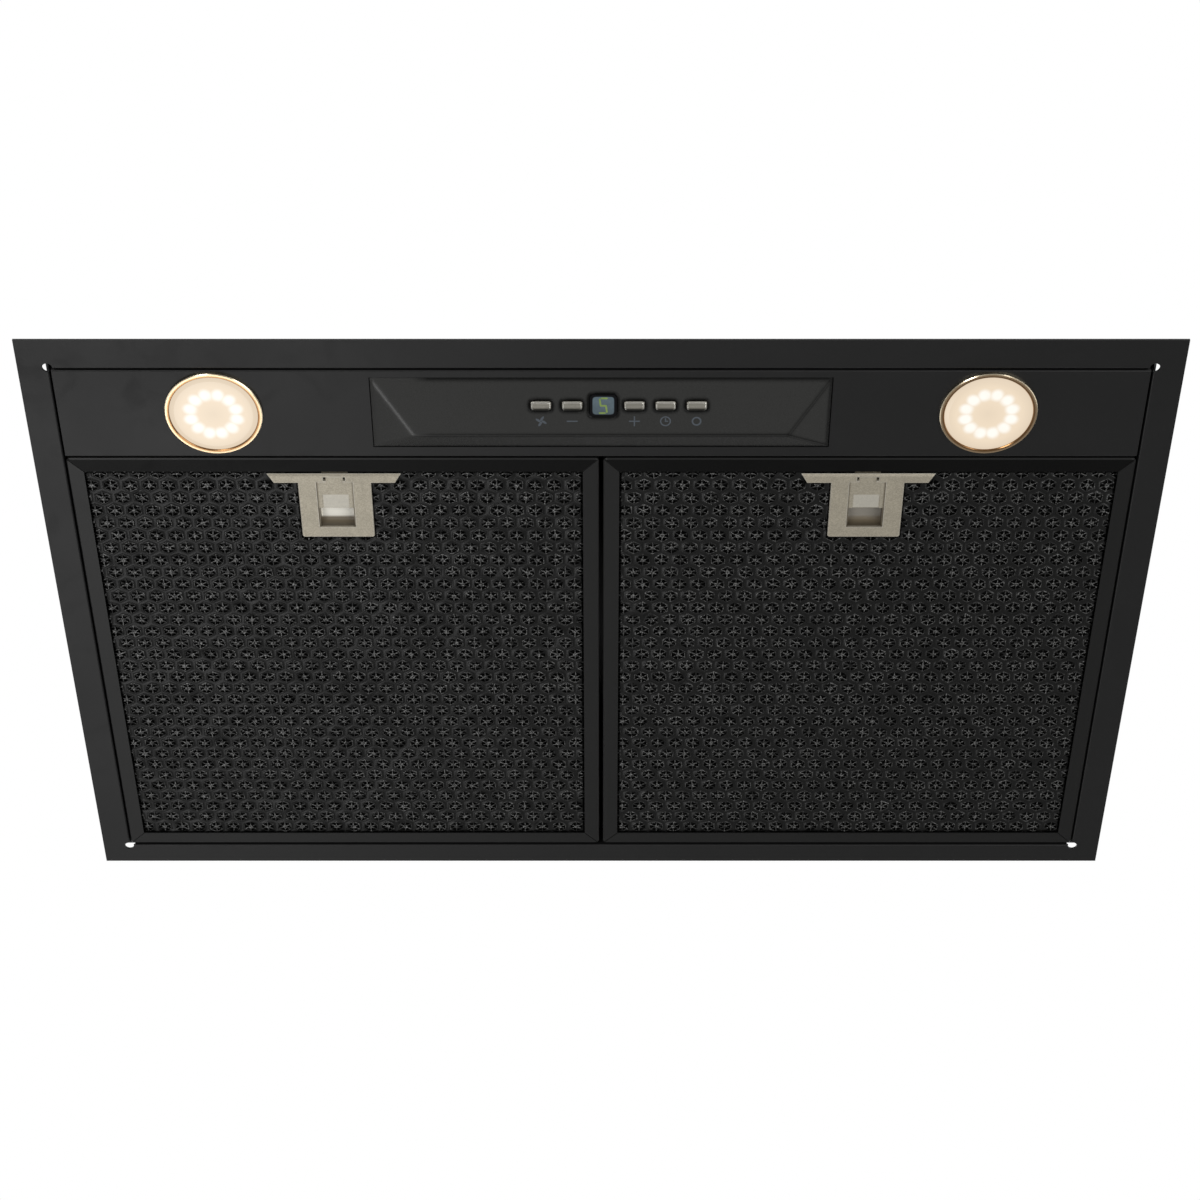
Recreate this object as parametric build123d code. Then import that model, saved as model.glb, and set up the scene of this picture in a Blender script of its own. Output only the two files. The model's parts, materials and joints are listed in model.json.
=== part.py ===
from build123d import *

import os
from math import atan2, cos, degrees, pi, radians, sin

# Undermount range hood, seen from below when in use.
# Millimetres. Origin at the centre of the flange's upper face, +Z up, front towards -Y.

# Flange frame
flange_width = 525.0
flange_depth = 332.0
rim_front = 15.5
rim_side = 14.0
rim_rear = 11.9
frame_sheet = 1.0
upstand_height = 12.0
corner_relief_radius = 2.3
bend_radius = 0.7
match = 0.01

# Front fascia panel
fascia_depth = 49.2
fascia_gap = 1.0
fascia_rear_upturn = 12.0
fascia_front_upturn = 11.0
fascia_joggle_height = 5.0
fascia_joggle_run = 1.5
fascia_end_upturn = 10.0

# Grease filters
filter_rail = 7.5
filter_thickness = 9.0
filter_wall = 0.8
filter_corner_radius = 2.0
filter_edge_bevel = 0.6
filter_side_gap = 0.75
filter_middle_gap = 2.0
filter_front_gap = 1.2
filter_rear_gap = 1.5
mesh_sheet = 0.5
mesh_edge_clearance = 0.2
mitre_groove_width = 0.4
mitre_groove_depth = 0.3
core_pitch = 15.0

# Rear hook tabs of the filters
tab_width = 16.0
tab_thickness = 1.0
tab_reach = 4.0
tab_inset = 45.0
tab_seat_height = 2.0
tab_clearance = 0.3
tab_slot_side_clearance = 1.0
tab_slot_height = 6.0

# Filter latches
latch_bar_width = 62.4
latch_bar_depth = 5.3
latch_bar_taper = 2.9
latch_body_width = 34.2
latch_length = 37.3
latch_corner_radius = 1.2
latch_plate_sheet = 0.8
latch_edge_bevel = 0.3
latch_front_bevel_run = 1.2
latch_front_bevel_rise = 0.5
latch_rail_gap = 1.5
latch_window_width = 17.2
latch_window_inset = 4.7
latch_window_end = 5.9
latch_step_width = 8.0
latch_step_depth = 2.9
latch_notch_width = 1.2
latch_notch_length = 2.1
latch_notch_depth = 2.0
guide_thickness = 1.0
guide_height = 2.6
guide_lip = 1.0
guide_front_inset = 1.0
guide_rear_inset = 1.5
slider_clearance = 0.3
slider_plate = 1.0
slider_overlap = 1.4
slider_lift = 0.1
pocket_depth = 6.4
pocket_wall = 1.0
pocket_length = 10.9
pocket_scoop_radius = 3.2
pad_width = 12.7
pad_length = 7.9
pad_depth = 0.3
tongue_width = 12.0
tongue_thickness = 2.0
tongue_height = 2.4
tongue_clearance = 0.3
latch_engage = 2.5
keeper_clearance = 1.0
spring_half_width = 1.5
spring_height = 2.4
spring_strip = 0.3
spring_turns = 6
bridge_thickness = 1.5
bridge_top = 5.0
bridge_gap = 1.0
latch_space_end = 1.0

# Control moulding on the fascia
control_width = 208.8
control_front_margin = 5.3
control_depth = 37.9
control_ridge_depth = 28.5
control_ridge_height = 5.0
control_facet_width = 19.0
control_wall = 2.0
control_rim = 3.0
control_rim_thickness = 1.5
control_gap = 0.5
control_ridge_radius = 2.0
control_back_height = 15.0
control_back_wall = 1.5
control_back_width = 130.0
control_back_offset = 8.0
cutter_margin = 1.0

# Push buttons and display, laid out along the tilted face of the control moulding
button_count = 5
button_pitch = 14.15
button_first = -27.3
button_width = 9.0
button_depth = 4.6
button_corner_radius = 0.9
button_proud = 1.0
button_edge_bevel = 0.4
button_clearance = 0.15
button_flange = 1.0
button_flange_thickness = 1.2
button_seat_gap = 0.05
button_stem_width = 3.0
button_stem_length = 1.6
button_travel = 0.8
button_row_depth = 13.3
display_slot = 2
display_width = 12.2
display_height = 11.0
display_corner_radius = 2.2
display_proud = 0.2
display_flange = 1.0
display_body_height = 5.0
display_neck_share = 0.85
switch_size = 6.0
switch_height = 3.4
plunger_width = 2.8
plunger_height = 1.0
plunger_gap = 0.1
board_thickness = 1.6
board_margin = 9.0
board_end_margin = 13.0
board_post_half = 2.2
board_post_edge = 0.5

# Lamps
lamp_inset = 72.0
lamp_forward = 0.95
lamp_bezel_radius = 22.25
lamp_bezel_proud = 1.6
lamp_lip = 2.1
lamp_lip_thickness = 0.7
lamp_lip_bevel = 0.35
lamp_lens_seat = 0.5
lamp_neck_wall = 0.6
lamp_neck_length = 1.5
lamp_lens_thickness = 2.4
lamp_lens_crown = 0.5
lamp_lens_bevel = 2.0
lamp_lens_clearance = 0.15
lamp_panel_clearance = 0.15
lamp_cup_wall = 1.5
lamp_cup_height = 6.5
lamp_sink_height = 8.0
lamp_fin_gap = 4.0
lamp_fin_pitch = 7.5
lamp_board_thickness = 1.2
led_count = 12
led_ring_radius = 11.6
led_size = 2.8
led_height = 0.8

# Casing of galvanised sheet, its front leaning back to stay out of sight from below
casing_sheet = 0.8
casing_lift = 2.5
casing_lip = 12.0
casing_knee = 14.0
casing_top_margin = 12.0
lip_clearance = 0.3
side_hole_radius = 2.5
side_hole_spacing = 160.0
side_hole_height = 62.0
side_hole_offset = 20.0
lid_lip = 14.0
lid_screw_margin = 20.0
lid_screw_count = 2

# Blower
wheel_radius = 60.0
wheel_width = 92.0
blade_count = 32
blade_depth = 12.0
blade_sweep = 6.5
blade_thickness = 1.4
blade_inset = 0.5
blade_bow = 0.15
wheel_ring_thickness = 3.0
wheel_disc_thickness = 3.0
wheel_hub_radius = 13.0
wheel_hub_length = 24.0
shaft_radius = 4.0
shaft_press_clearance = 0.02
shaft_running_clearance = 0.05
scroll_clearance = 6.0
scroll_growth = 11.0
scroll_side_gap = 6.0
scroll_wall = 2.0
scroll_seam = 4.0
scroll_floor = 15.0
scroll_tongue_radius = 7.0
scroll_tongue_offset = 18.0
scroll_outlet_rise = 17.0
inlet_lip_length = 9.0
inlet_lip_clearance = 1.0
inlet_mouth_bevel = 1.8
motor_radius = 34.0
motor_hub_gap = 4.0
motor_edge_bevel = 4.0
motor_boss_radius = 14.0
motor_boss_height = 2.0
motor_end_wall = 1.0
bracket_thickness = 3.0
bracket_arms = 3
bracket_arm_width = 14.0
bracket_hub_radius = 26.0
bracket_reach = 12.0
bracket_slot_width = 4.0

# Duct collar and its non-return flaps
collar_radius = 74.5
collar_wall = 2.0
collar_height = 30.0
collar_base_width = 8.0
collar_rear_margin = 2.5
collar_base_thickness = 2.0
collar_lead_in = 1.0
collar_ear_radius = 7.0
collar_ear_reach = 4.0
damper_pin_radius = 2.0
damper_pin_clearance = 0.05
damper_pin_height = 10.0
damper_knuckle_radius = 4.0
damper_knuckle_length = 24.0
damper_knuckle_gap = 4.0
damper_flap_thickness = 1.6
damper_flap_clearance = 1.5
damper_root_clearance = 0.6
damper_socket_depth = 1.2
damper_stop_reach = 4.0
damper_stop_thickness = 1.5
damper_stop_width = 14.0
damper_seat_gap = 0.3

# Electronics box on the casing lid
box_length = 130.0
box_width = 66.0
box_height = 40.0
box_wall = 2.0
box_side_margin = 14.0
box_rear_margin = 19.0
box_cover_lip = 5.0
box_cover_clearance = 0.3
box_post_height = 8.0
box_post_half = 3.5
main_board_margin = 5.0
transformer_length = 38.0
transformer_width = 32.0
transformer_height = 20.0
transformer_core_width = 14.0
transformer_core_rise = 2.0
transformer_end_margin = 3.0
capacitor_radius = 11.0
capacitor_length = 36.0
capacitor_edge_bevel = 1.5
capacitor_saddle_width = 11.0
terminal_length = 30.0
terminal_width = 14.0
terminal_height = 12.0
terminal_ways = 3
terminal_hole_radius = 2.0
gland_bore_radius = 4.2
gland_thread_radius = 8.0
gland_nut_width = 22.0
gland_nut_length = 6.0
gland_dome_length = 10.0
gland_clearance = 0.2
gland_board_gap = 1.0

# Wiring loom from the control unit to the electronics box
loom_radius = 3.0
loom_facets = 8
loom_bend_radius = 8.0
loom_rise = 18.0
loom_side_margin = 24.0
loom_hole_clearance = 0.2
loom_end_margin = 12.0
loom_box_inset = 32.0
loom_tail = 2.0

# Screws
screw_head_radius = 3.6
screw_head_height = 2.2
screw_shank_radius = 1.9
screw_hole_clearance = 0.1
screw_length = 7.0
screw_edge = 6.0
collar_screw_count = 4

# Worked-out positions
flange_x = flange_width / 2
flange_front = -flange_depth / 2
flange_rear = flange_depth / 2
open_x = flange_x - rim_side
open_front = flange_front + rim_front
open_rear = flange_rear - rim_rear
face_z = -frame_sheet

fascia_x = open_x - fascia_gap
fascia_front = open_front + fascia_gap
fascia_rear = open_front + fascia_depth

filter_front = fascia_rear + filter_front_gap
filter_rear = open_rear - filter_rear_gap
filter_width = open_x - filter_side_gap - filter_middle_gap / 2
filter_x = (filter_middle_gap + filter_width) / 2
filter_top = face_z + filter_thickness
mesh_low = face_z + filter_wall
mesh_high = filter_top - filter_wall

casing_x = open_x + frame_sheet
casing_front = open_front - frame_sheet
casing_rear = open_rear + frame_sheet

scroll_start = wheel_radius + scroll_clearance
scroll_half = wheel_width / 2 + scroll_side_gap
scroll_reach = scroll_start + 3 * scroll_growth
outlet_y = casing_rear - collar_radius - collar_base_width - collar_rear_margin
wheel_y = outlet_y - (scroll_tongue_offset + scroll_reach) / 2
wheel_z = scroll_floor + scroll_seam + scroll_wall + scroll_start + scroll_growth
lid_under = wheel_z + scroll_start + scroll_tongue_radius + scroll_outlet_rise
lid_top = lid_under + casing_sheet
lid_front = outlet_y - collar_radius - collar_base_width - casing_top_margin

collar_top = lid_top + collar_height
damper_z = lid_top + damper_pin_height
collar_bore = collar_radius - collar_wall

control_front = open_front + control_front_margin
control_rear = control_front + control_depth
control_x = control_width / 2
control_tilt = degrees(atan2(control_ridge_height, control_ridge_depth))

lamp_x = open_x - lamp_inset
lamp_y = (fascia_front + fascia_rear) / 2 - lamp_forward

box_x = casing_x - box_side_margin - box_width / 2
box_y = casing_rear - box_rear_margin - box_length / 2

parts = {}


def block(x0, x1, y0, y1, z0, z1):
    """A box between two opposite corners."""
    return Pos((x0 + x1) / 2, (y0 + y1) / 2, (z0 + z1) / 2) * Box(x1 - x0, y1 - y0, z1 - z0)


def disc(radius, z0, z1, x=0.0, y=0.0):
    """An upright cylinder."""
    return Pos(x, y, (z0 + z1) / 2) * Cylinder(radius, z1 - z0)


def rod_x(radius, x0, x1, y, z):
    """A cylinder lying along X."""
    return Pos((x0 + x1) / 2, y, z) * Rot(0, 90, 0) * Cylinder(radius, x1 - x0)


def rod_y(radius, y0, y1, x, z):
    """A cylinder lying along Y."""
    return Pos(x, (y0 + y1) / 2, z) * Rot(90, 0, 0) * Cylinder(radius, y1 - y0)


def along_x(face, x0, x1):
    """A face drawn in (y, z), extruded from x0 to x1."""
    return extrude(Plane.YZ.offset(x0) * face, x1 - x0)


def along_y(face, y0, y1):
    """A face drawn in (x, z), extruded from y0 to y1."""
    return extrude(Plane.XZ.offset(-y1) * face, y1 - y0)


def outline(*points):
    """A flat face bounded by straight edges through the points."""
    return make_face(Polyline(*points, close=True))


def folded(points, thickness):
    """The section of a folded sheet: the path is its outer skin, and the sheet lies to its left."""
    path = Wire(Polyline(*points).edges())
    return make_face(path.offset_2d(thickness, kind=Kind.INTERSECTION, side=Side.LEFT).edges())


def both_sides(build, name):
    """Make one piece for each side of the hood, -1 on the left and +1 on the right."""
    for side, word in ((-1, "left"), (1, "right")):
        parts[f"{name}_{word}"] = build(side)


def tab_positions(side):
    """X of the two rear hook tabs of one filter."""
    return [side * filter_x + end * (filter_width / 2 - tab_inset) for end in (-1, 1)]


def tab_slots(y0, y1):
    """Cutters for the slots that the filters' hook tabs enter."""
    half = tab_width / 2 + tab_slot_side_clearance
    low = tab_seat_height
    return [
        block(x - half, x + half, y0, y1, low, low + tab_slot_height)
        for side in (-1, 1)
        for x in tab_positions(side)
    ]


# Canopy frame: flat flange ring with an upstand round its opening


def canopy_frame():
    frame = block(-flange_x, flange_x, flange_front, flange_rear, face_z, 0)
    frame -= block(-open_x, open_x, open_front, open_rear, face_z, 0)
    setback = corner_relief_radius
    for side in (-1, 1):
        x0, x1 = sorted((side * open_x, side * casing_x))
        frame += block(x0, x1, open_front + setback, open_rear - setback, face_z, upstand_height)
    half = open_x - setback
    frame += block(-half, half, casing_front, open_front, face_z, upstand_height)
    frame += block(-half, half, open_rear, casing_rear, face_z, upstand_height)
    for x in (-1, 1):
        for y in (casing_front + frame_sheet / 2, casing_rear - frame_sheet / 2):
            corner_x = x * (open_x + frame_sheet / 2)
            frame -= disc(corner_relief_radius, face_z, upstand_height, corner_x, y)
    frame -= tab_slots(open_rear, casing_rear)
    bends = [
        e
        for e in frame.edges().filter_by(GeomType.LINE)
        if abs(e.center().Z - face_z) < match
        and e.length > filter_rail
        and (
            abs(abs(e.center().X) - open_x) < match
            or abs(e.center().Y - open_front) < match
            or abs(e.center().Y - open_rear) < match
        )
    ]
    return fillet(bends, bend_radius)


# Front fascia: folded panel that carries the lamps and controls and keeps the filter latches


def fascia_panel():
    points = [
        (open_front, fascia_front_upturn),
        (open_front, fascia_joggle_height),
        (fascia_front, fascia_joggle_height - fascia_joggle_run),
        (fascia_front, face_z),
        (fascia_rear, face_z),
        (fascia_rear, fascia_rear_upturn),
    ]
    section = folded(points, frame_sheet)
    corners = [
        v for v in section.vertices() if abs(v.Y - face_z) < match and v.X > fascia_front - match
    ]
    section = fillet(corners, bend_radius)
    panel = along_x(section, -fascia_x, fascia_x)
    inner_rear = fascia_rear - frame_sheet
    for side in (-1, 1):
        x0, x1 = sorted((side * fascia_x, side * (fascia_x - frame_sheet)))
        panel += block(x0, x1, fascia_front + frame_sheet, inner_rear, face_z, fascia_end_upturn)
        lamp_hole = neck_outer() + lamp_panel_clearance
        panel -= disc(lamp_hole, face_z, 0, side * lamp_x, lamp_y)
        half = tongue_width / 2 + keeper_clearance
        low = tongue_height - keeper_clearance
        high = tongue_height + tongue_thickness + keeper_clearance
        x = side * filter_x
        panel -= block(x - half, x + half, inner_rear, fascia_rear, low, high)
    x = control_x + control_gap
    return panel - block(-x, x, control_front - control_gap, control_rear + control_gap, face_z, 0)


# Casing: folded side walls, wrapped by a leaning front, a back and a lid


def casing_outline():
    """Side view of the casing, in (y, z)."""
    return outline(
        (casing_front, casing_lift),
        (casing_front, casing_knee),
        (lid_front, lid_under),
        (casing_rear, lid_under),
        (casing_rear, casing_lift),
    )


def casing_side(side):
    """Side wall with returns along its edges and two holes for screws into the cabinet."""
    shape = casing_outline()
    hollow = offset(shape, -casing_sheet, kind=Kind.INTERSECTION)
    inner, outer = side * (casing_x - casing_lip), side * (casing_x + casing_sheet)
    skin = side * casing_x
    wall = along_x(shape, *sorted((inner, outer))) - along_x(hollow, *sorted((inner, skin)))
    below = upstand_height + lip_clearance
    x0, x1 = sorted((inner, skin))
    wall -= block(x0, x1, casing_front, casing_rear, casing_lift, below)
    for end in (-1, 1):
        y = side_hole_offset + end * side_hole_spacing / 2
        wall -= rod_x(side_hole_radius, *sorted((skin, outer)), y, side_hole_height)
    return wall - screw_holes(lid_screw_places(), lid_under - casing_sheet, lid_under)


def casing_front_panel():
    """Front wall: upright at the foot, then leaning back to the lid."""
    points = [(casing_front, casing_lift), (casing_front, casing_knee), (lid_front, lid_under)]
    x = casing_x + casing_sheet
    wall = along_x(folded(points, casing_sheet), -x, x)
    return wall & block(-x, x, casing_front - casing_sheet, lid_front, casing_lift, lid_under)


def casing_back_panel():
    """Back wall with the slots that the filters' hook tabs enter."""
    x = casing_x + casing_sheet
    wall = block(-x, x, casing_rear, casing_rear + casing_sheet, casing_lift, lid_under)
    return wall - tab_slots(casing_rear, casing_rear + casing_sheet)


def collar_screws():
    """Places of the screws that hold the duct collar on the lid."""
    reach = collar_radius + collar_base_width + collar_ear_reach
    turn = 2 * pi / collar_screw_count
    angles = [turn * (n + 0.5) for n in range(collar_screw_count)]
    return [(reach * cos(a), outlet_y + reach * sin(a)) for a in angles]


def lid_screw_places():
    """Places of the screws that hold the lid down on the side walls' returns."""
    x = casing_x - casing_lip / 2
    y0, y1 = lid_front + lid_screw_margin, casing_rear - lid_screw_margin
    step = (y1 - y0) / (lid_screw_count - 1)
    return [(side * x, y0 + n * step) for side in (-1, 1) for n in range(lid_screw_count)]


def screw_holes(places, z0, z1):
    """Cutters for the screws' clearance holes."""
    return [disc(screw_shank_radius + screw_hole_clearance, z0, z1, x, y) for x, y in places]


def loom_points():
    """The route of the wiring loom: up from the control unit, along the side and up into the box."""
    y0 = (control_front + control_rear) / 2
    y1 = box_y - box_length / 2 + loom_box_inset
    start_z = control_rim_thickness + control_back_height - control_back_wall - loom_tail
    run_z = start_z + loom_rise
    end_z = lid_top + box_wall + loom_tail
    x0 = control_back_offset + control_back_width / 2 - loom_end_margin
    x1 = casing_x - loom_side_margin
    return [(x0, y0, start_z), (x0, y0, run_z), (x1, y0, run_z), (x1, y1, run_z), (x1, y1, end_z)]


def mouth_span():
    """Y range of the volute's mouth under the lid."""
    return wheel_y + scroll_tongue_offset, wheel_y + scroll_reach


def loom_hole(place, z0, z1):
    """Cutter for the hole that one end of the wiring loom passes through."""
    return disc(loom_radius + loom_hole_clearance, z0, z1, place[0], place[1])


def casing_lid():
    """Lid with all four edges turned down over the walls, and an opening over the volute's mouth."""
    skin = casing_sheet
    lean = atan2(lid_front - casing_front, lid_under - casing_knee)
    front = lid_front - skin / cos(lean)
    rear = casing_rear + skin
    x = casing_x + skin
    points = [
        (front - lid_lip * sin(lean), lid_under - lid_lip * cos(lean)),
        (front, lid_under),
        (rear, lid_under),
        (rear, lid_under - lid_lip),
    ]
    lid = along_x(folded(points, skin), -x, x)
    for side in (-1, 1):
        x0, x1 = sorted((side * x, side * (x + skin)))
        lid += block(x0, x1, front, rear + skin, lid_under - lid_lip, lid_top)
    lid -= block(-scroll_half, scroll_half, *mouth_span(), lid_under, lid_top)
    lid -= screw_holes(collar_screws() + lid_screw_places(), lid_under, lid_top)
    return lid - loom_hole(loom_points()[-1], lid_under, lid_top)


def screw(x, y, z):
    """Hex-head screw whose head seats at height z."""
    hexagon = RegularPolygon(screw_head_radius, 6)
    head = extrude(Plane.XY.offset(z) * Pos(x, y) * hexagon, screw_head_height)
    return head + disc(screw_shank_radius, z - screw_length, z, x, y)


def collar_screw_set():
    head = lid_top + collar_base_thickness
    return Compound([screw(x, y, head) for x, y in collar_screws()])


def lid_screw_set():
    return Compound([screw(x, y, lid_top) for x, y in lid_screw_places()])


# Duct collar with two non-return flaps on one pin


def outlet_collar():
    base_top = lid_top + collar_base_thickness
    base = disc(collar_radius + collar_base_width, lid_top, base_top, 0, outlet_y)
    for x, y in collar_screws():
        base += disc(collar_ear_radius, lid_top, base_top, x, y)
    tube = disc(collar_radius, lid_top, collar_top, 0, outlet_y)
    tube = chamfer(tube.edges().group_by(Axis.Z)[-1], collar_lead_in)
    collar = base + tube - disc(collar_bore, lid_top, collar_top, 0, outlet_y)
    seat = damper_z - damper_flap_thickness / 2 - damper_seat_gap
    half = damper_stop_width / 2
    for side in (-1, 1):
        reach = sorted((side * (collar_bore - damper_stop_reach), side * (collar_bore + collar_wall / 2)))
        y0, y1 = (outlet_y + y for y in reach)
        collar += block(-half, half, y0, y1, seat - damper_stop_thickness, seat)
    socket = collar_bore + damper_socket_depth
    collar -= rod_x(damper_pin_radius + damper_pin_clearance, -socket, socket, outlet_y, damper_z)
    return collar - screw_holes(collar_screws(), lid_top, base_top)


def damper_pin():
    end = collar_bore + damper_socket_depth - damper_pin_clearance
    return rod_x(damper_pin_radius, -end, end, outlet_y, damper_z)


def damper_flap(front):
    """Half disc that hangs on the pin by two knuckles."""
    side = -1 if front else 1
    radius = collar_bore - damper_flap_clearance
    low, high = damper_z - damper_flap_thickness / 2, damper_z + damper_flap_thickness / 2
    root = damper_knuckle_radius + damper_root_clearance
    flap = disc(radius, low, high, 0, outlet_y)
    kept0, kept1 = sorted((side * root, side * radius))
    flap &= block(-radius, radius, outlet_y + kept0, outlet_y + kept1, low, high)
    pitch = damper_knuckle_length + damper_knuckle_gap
    first = -1.5 if front else -0.5
    bore = damper_pin_radius + damper_pin_clearance
    for step in (0, 2):
        x = (first + step) * pitch
        x0, x1 = x - damper_knuckle_length / 2, x + damper_knuckle_length / 2
        web0, web1 = sorted((0, side * (root + damper_root_clearance)))
        flap += block(x0, x1, outlet_y + web0, outlet_y + web1, low, high)
        flap += rod_x(damper_knuckle_radius, x0, x1, outlet_y, damper_z)
        flap -= rod_x(bore, x0, x1, outlet_y, damper_z)
    return flap


# Blower: volute scroll in two halves, wheel with forward-curved blades, motor inside the wheel


def scroll_outline(grow):
    """Volute in (y, z): a three-arc spiral that runs into a straight outlet, grown outwards by a wall."""
    c1 = (wheel_y, wheel_z)
    c2 = (wheel_y + scroll_growth, wheel_z)
    c3 = (wheel_y + scroll_growth, wheel_z + scroll_growth)
    r1 = scroll_start + grow
    r2 = r1 + scroll_growth
    r3 = r2 + scroll_growth
    tongue_y = wheel_y + scroll_tongue_offset - grow
    tongue_r = scroll_tongue_radius - grow
    tongue_z = wheel_z + r1
    edges = [
        Line((tongue_y, lid_under), (tongue_y, tongue_z + tongue_r)),
        RadiusArc(
            (tongue_y, tongue_z + tongue_r), (tongue_y - tongue_r, tongue_z), tongue_r, short_sagitta=True
        ),
        Line((tongue_y - tongue_r, tongue_z), (c1[0], tongue_z)),
        CenterArc(c1, r1, 90, 90),
        CenterArc(c2, r2, 180, 90),
        CenterArc(c3, r3, 270, 90),
        Line((c3[0] + r3, c3[1]), (c3[0] + r3, lid_under)),
        Line((c3[0] + r3, lid_under), (tongue_y, lid_under)),
    ]
    return make_face([e.edge() for e in edges])


def scroll_half_shell(side):
    """One half of the volute with its inlet lip and flanges along the seam and round the mouth."""
    inside, outside = scroll_half, scroll_half + scroll_wall

    def span(face, a, b):
        return along_x(face, *sorted((side * a, side * b)))

    shell = span(scroll_outline(scroll_wall), 0, outside)
    seam = span(scroll_outline(scroll_wall + scroll_seam), 0, scroll_wall)
    y0, y1 = mouth_span()
    grow = scroll_wall + scroll_seam
    x0, x1 = sorted((0, side * (outside + scroll_seam)))
    shell += seam
    shell += block(x0, x1, y0 - grow, y1 + grow, lid_under - scroll_wall, lid_under)
    shell -= span(scroll_outline(0.0), 0, inside)
    lip_outer = wheel_radius - blade_depth - inlet_lip_clearance
    lip_inner = lip_outer - scroll_wall
    lip_end = outside - inlet_lip_length
    x0, x1 = sorted((side * lip_end, side * outside))
    shell += rod_x(lip_outer, x0, x1, wheel_y, wheel_z)
    shell -= rod_x(lip_inner, x0, x1, wheel_y, wheel_z)
    mouth = [
        e
        for e in shell.edges().filter_by(GeomType.CIRCLE)
        if abs(e.radius - lip_inner) < match and abs(e.center().X - side * outside) < match
    ]
    return chamfer(mouth, inlet_mouth_bevel)


def blade_section():
    """One forward-curved blade across the wheel's rim, bent at its middle, in (y, z) about the axis."""
    inner = wheel_radius - blade_depth + blade_inset
    outer = wheel_radius - blade_inset
    middle = (inner + outer) / 2
    width = degrees(blade_thickness / middle)
    bow = blade_sweep * blade_bow

    def at(radius, angle):
        return (radius * cos(radians(angle)), radius * sin(radians(angle)))

    curve = [(inner, 0), (middle, bow), (outer, blade_sweep)]
    back = [at(radius, angle) for radius, angle in curve]
    face = [at(radius, angle + width) for radius, angle in reversed(curve)]
    return outline(*back, *face)


def impeller():
    """Double-inlet wheel: two end rings and a centre disc joined by the blades."""
    half = wheel_width / 2
    centre = Pos(0, wheel_y, wheel_z)
    ring_inner = wheel_radius - blade_depth
    wheel = rod_x(wheel_radius, -wheel_disc_thickness / 2, wheel_disc_thickness / 2, 0, 0)
    wheel += rod_x(wheel_hub_radius, -wheel_hub_length / 2, wheel_hub_length / 2, 0, 0)
    for side in (-1, 1):
        x0, x1 = sorted((side * half, side * (half - wheel_ring_thickness)))
        ring = rod_x(wheel_radius, x0, x1, 0, 0)
        wheel += ring - rod_x(ring_inner, x0, x1, 0, 0)
    reach = half - wheel_ring_thickness / 2
    blade = along_x(blade_section(), -reach, reach)
    blades = [Rot(360.0 * n / blade_count, 0, 0) * blade for n in range(blade_count)]
    wheel = wheel.fuse(*blades)
    wheel -= rod_x(shaft_radius + shaft_press_clearance, -wheel_hub_length, wheel_hub_length, 0, 0)
    return centre * wheel


def motor_far_end():
    return -(scroll_half + scroll_wall)


def motor_body():
    """Can-shaped motor inside the wheel, with a bearing boss facing the hub."""
    x0 = motor_far_end()
    x1 = -wheel_hub_length / 2 - motor_hub_gap
    can = rod_x(motor_radius, x0, x1 - motor_boss_height, wheel_y, wheel_z)
    can = chamfer(can.edges().filter_by(GeomType.CIRCLE), motor_edge_bevel)
    can += rod_x(motor_boss_radius, x1 - motor_boss_height, x1, wheel_y, wheel_z)
    bore = shaft_radius + shaft_running_clearance
    return can - rod_x(bore, x0 + motor_end_wall, x1, wheel_y, wheel_z)


def motor_shaft():
    x0 = motor_far_end() + motor_end_wall + shaft_running_clearance
    return rod_x(shaft_radius, x0, wheel_hub_length / 2, wheel_y, wheel_z)


def motor_bracket():
    """Spider plate that carries the motor across the left inlet."""
    x1 = motor_far_end()
    x0 = x1 - bracket_thickness
    reach = wheel_radius - blade_depth + bracket_reach
    plate = rod_x(bracket_hub_radius, x0, x1, 0, 0)
    arm = block(x0, x1, -bracket_arm_width / 2, bracket_arm_width / 2, 0, reach)
    half = bracket_slot_width / 2
    slot = block(x0, x1, -half, half, bracket_hub_radius, reach - screw_edge)
    for n in range(bracket_arms):
        turn = Rot(360.0 * n / bracket_arms, 0, 0)
        plate += turn * arm
        plate -= turn * slot
    return Pos(0, wheel_y, wheel_z) * plate


# Electronics box on the lid


def box_corners(inset):
    return [
        (box_x + sx * (box_width / 2 - inset), box_y + sy * (box_length / 2 - inset))
        for sx in (-1, 1)
        for sy in (-1, 1)
    ]


def gland_place():
    clear = main_board_z() + board_thickness + gland_board_gap
    return box_x, box_y + box_length / 2, clear + gland_nut_width / 2


def electronics_box():
    x0, x1 = box_x - box_width / 2, box_x + box_width / 2
    y0, y1 = box_y - box_length / 2, box_y + box_length / 2
    z0, z1 = lid_top, lid_top + box_height
    tray = block(x0, x1, y0, y1, z0, z1)
    tray = fillet(tray.edges().filter_by(Axis.Z), box_wall)
    tray -= block(x0 + box_wall, x1 - box_wall, y0 + box_wall, y1 - box_wall, z0 + box_wall, z1)
    post = box_post_half
    for x, y in box_corners(box_wall + post + main_board_margin):
        low, high = z0 + box_wall / 2, z0 + box_wall + box_post_height
        tray += block(x - post, x + post, y - post, y + post, low, high)
    tray -= loom_hole(loom_points()[-1], z0, z0 + box_wall)
    gx, gy, gz = gland_place()
    return tray - rod_y(gland_thread_radius + gland_clearance, gy - box_wall, gy, gx, gz)


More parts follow.
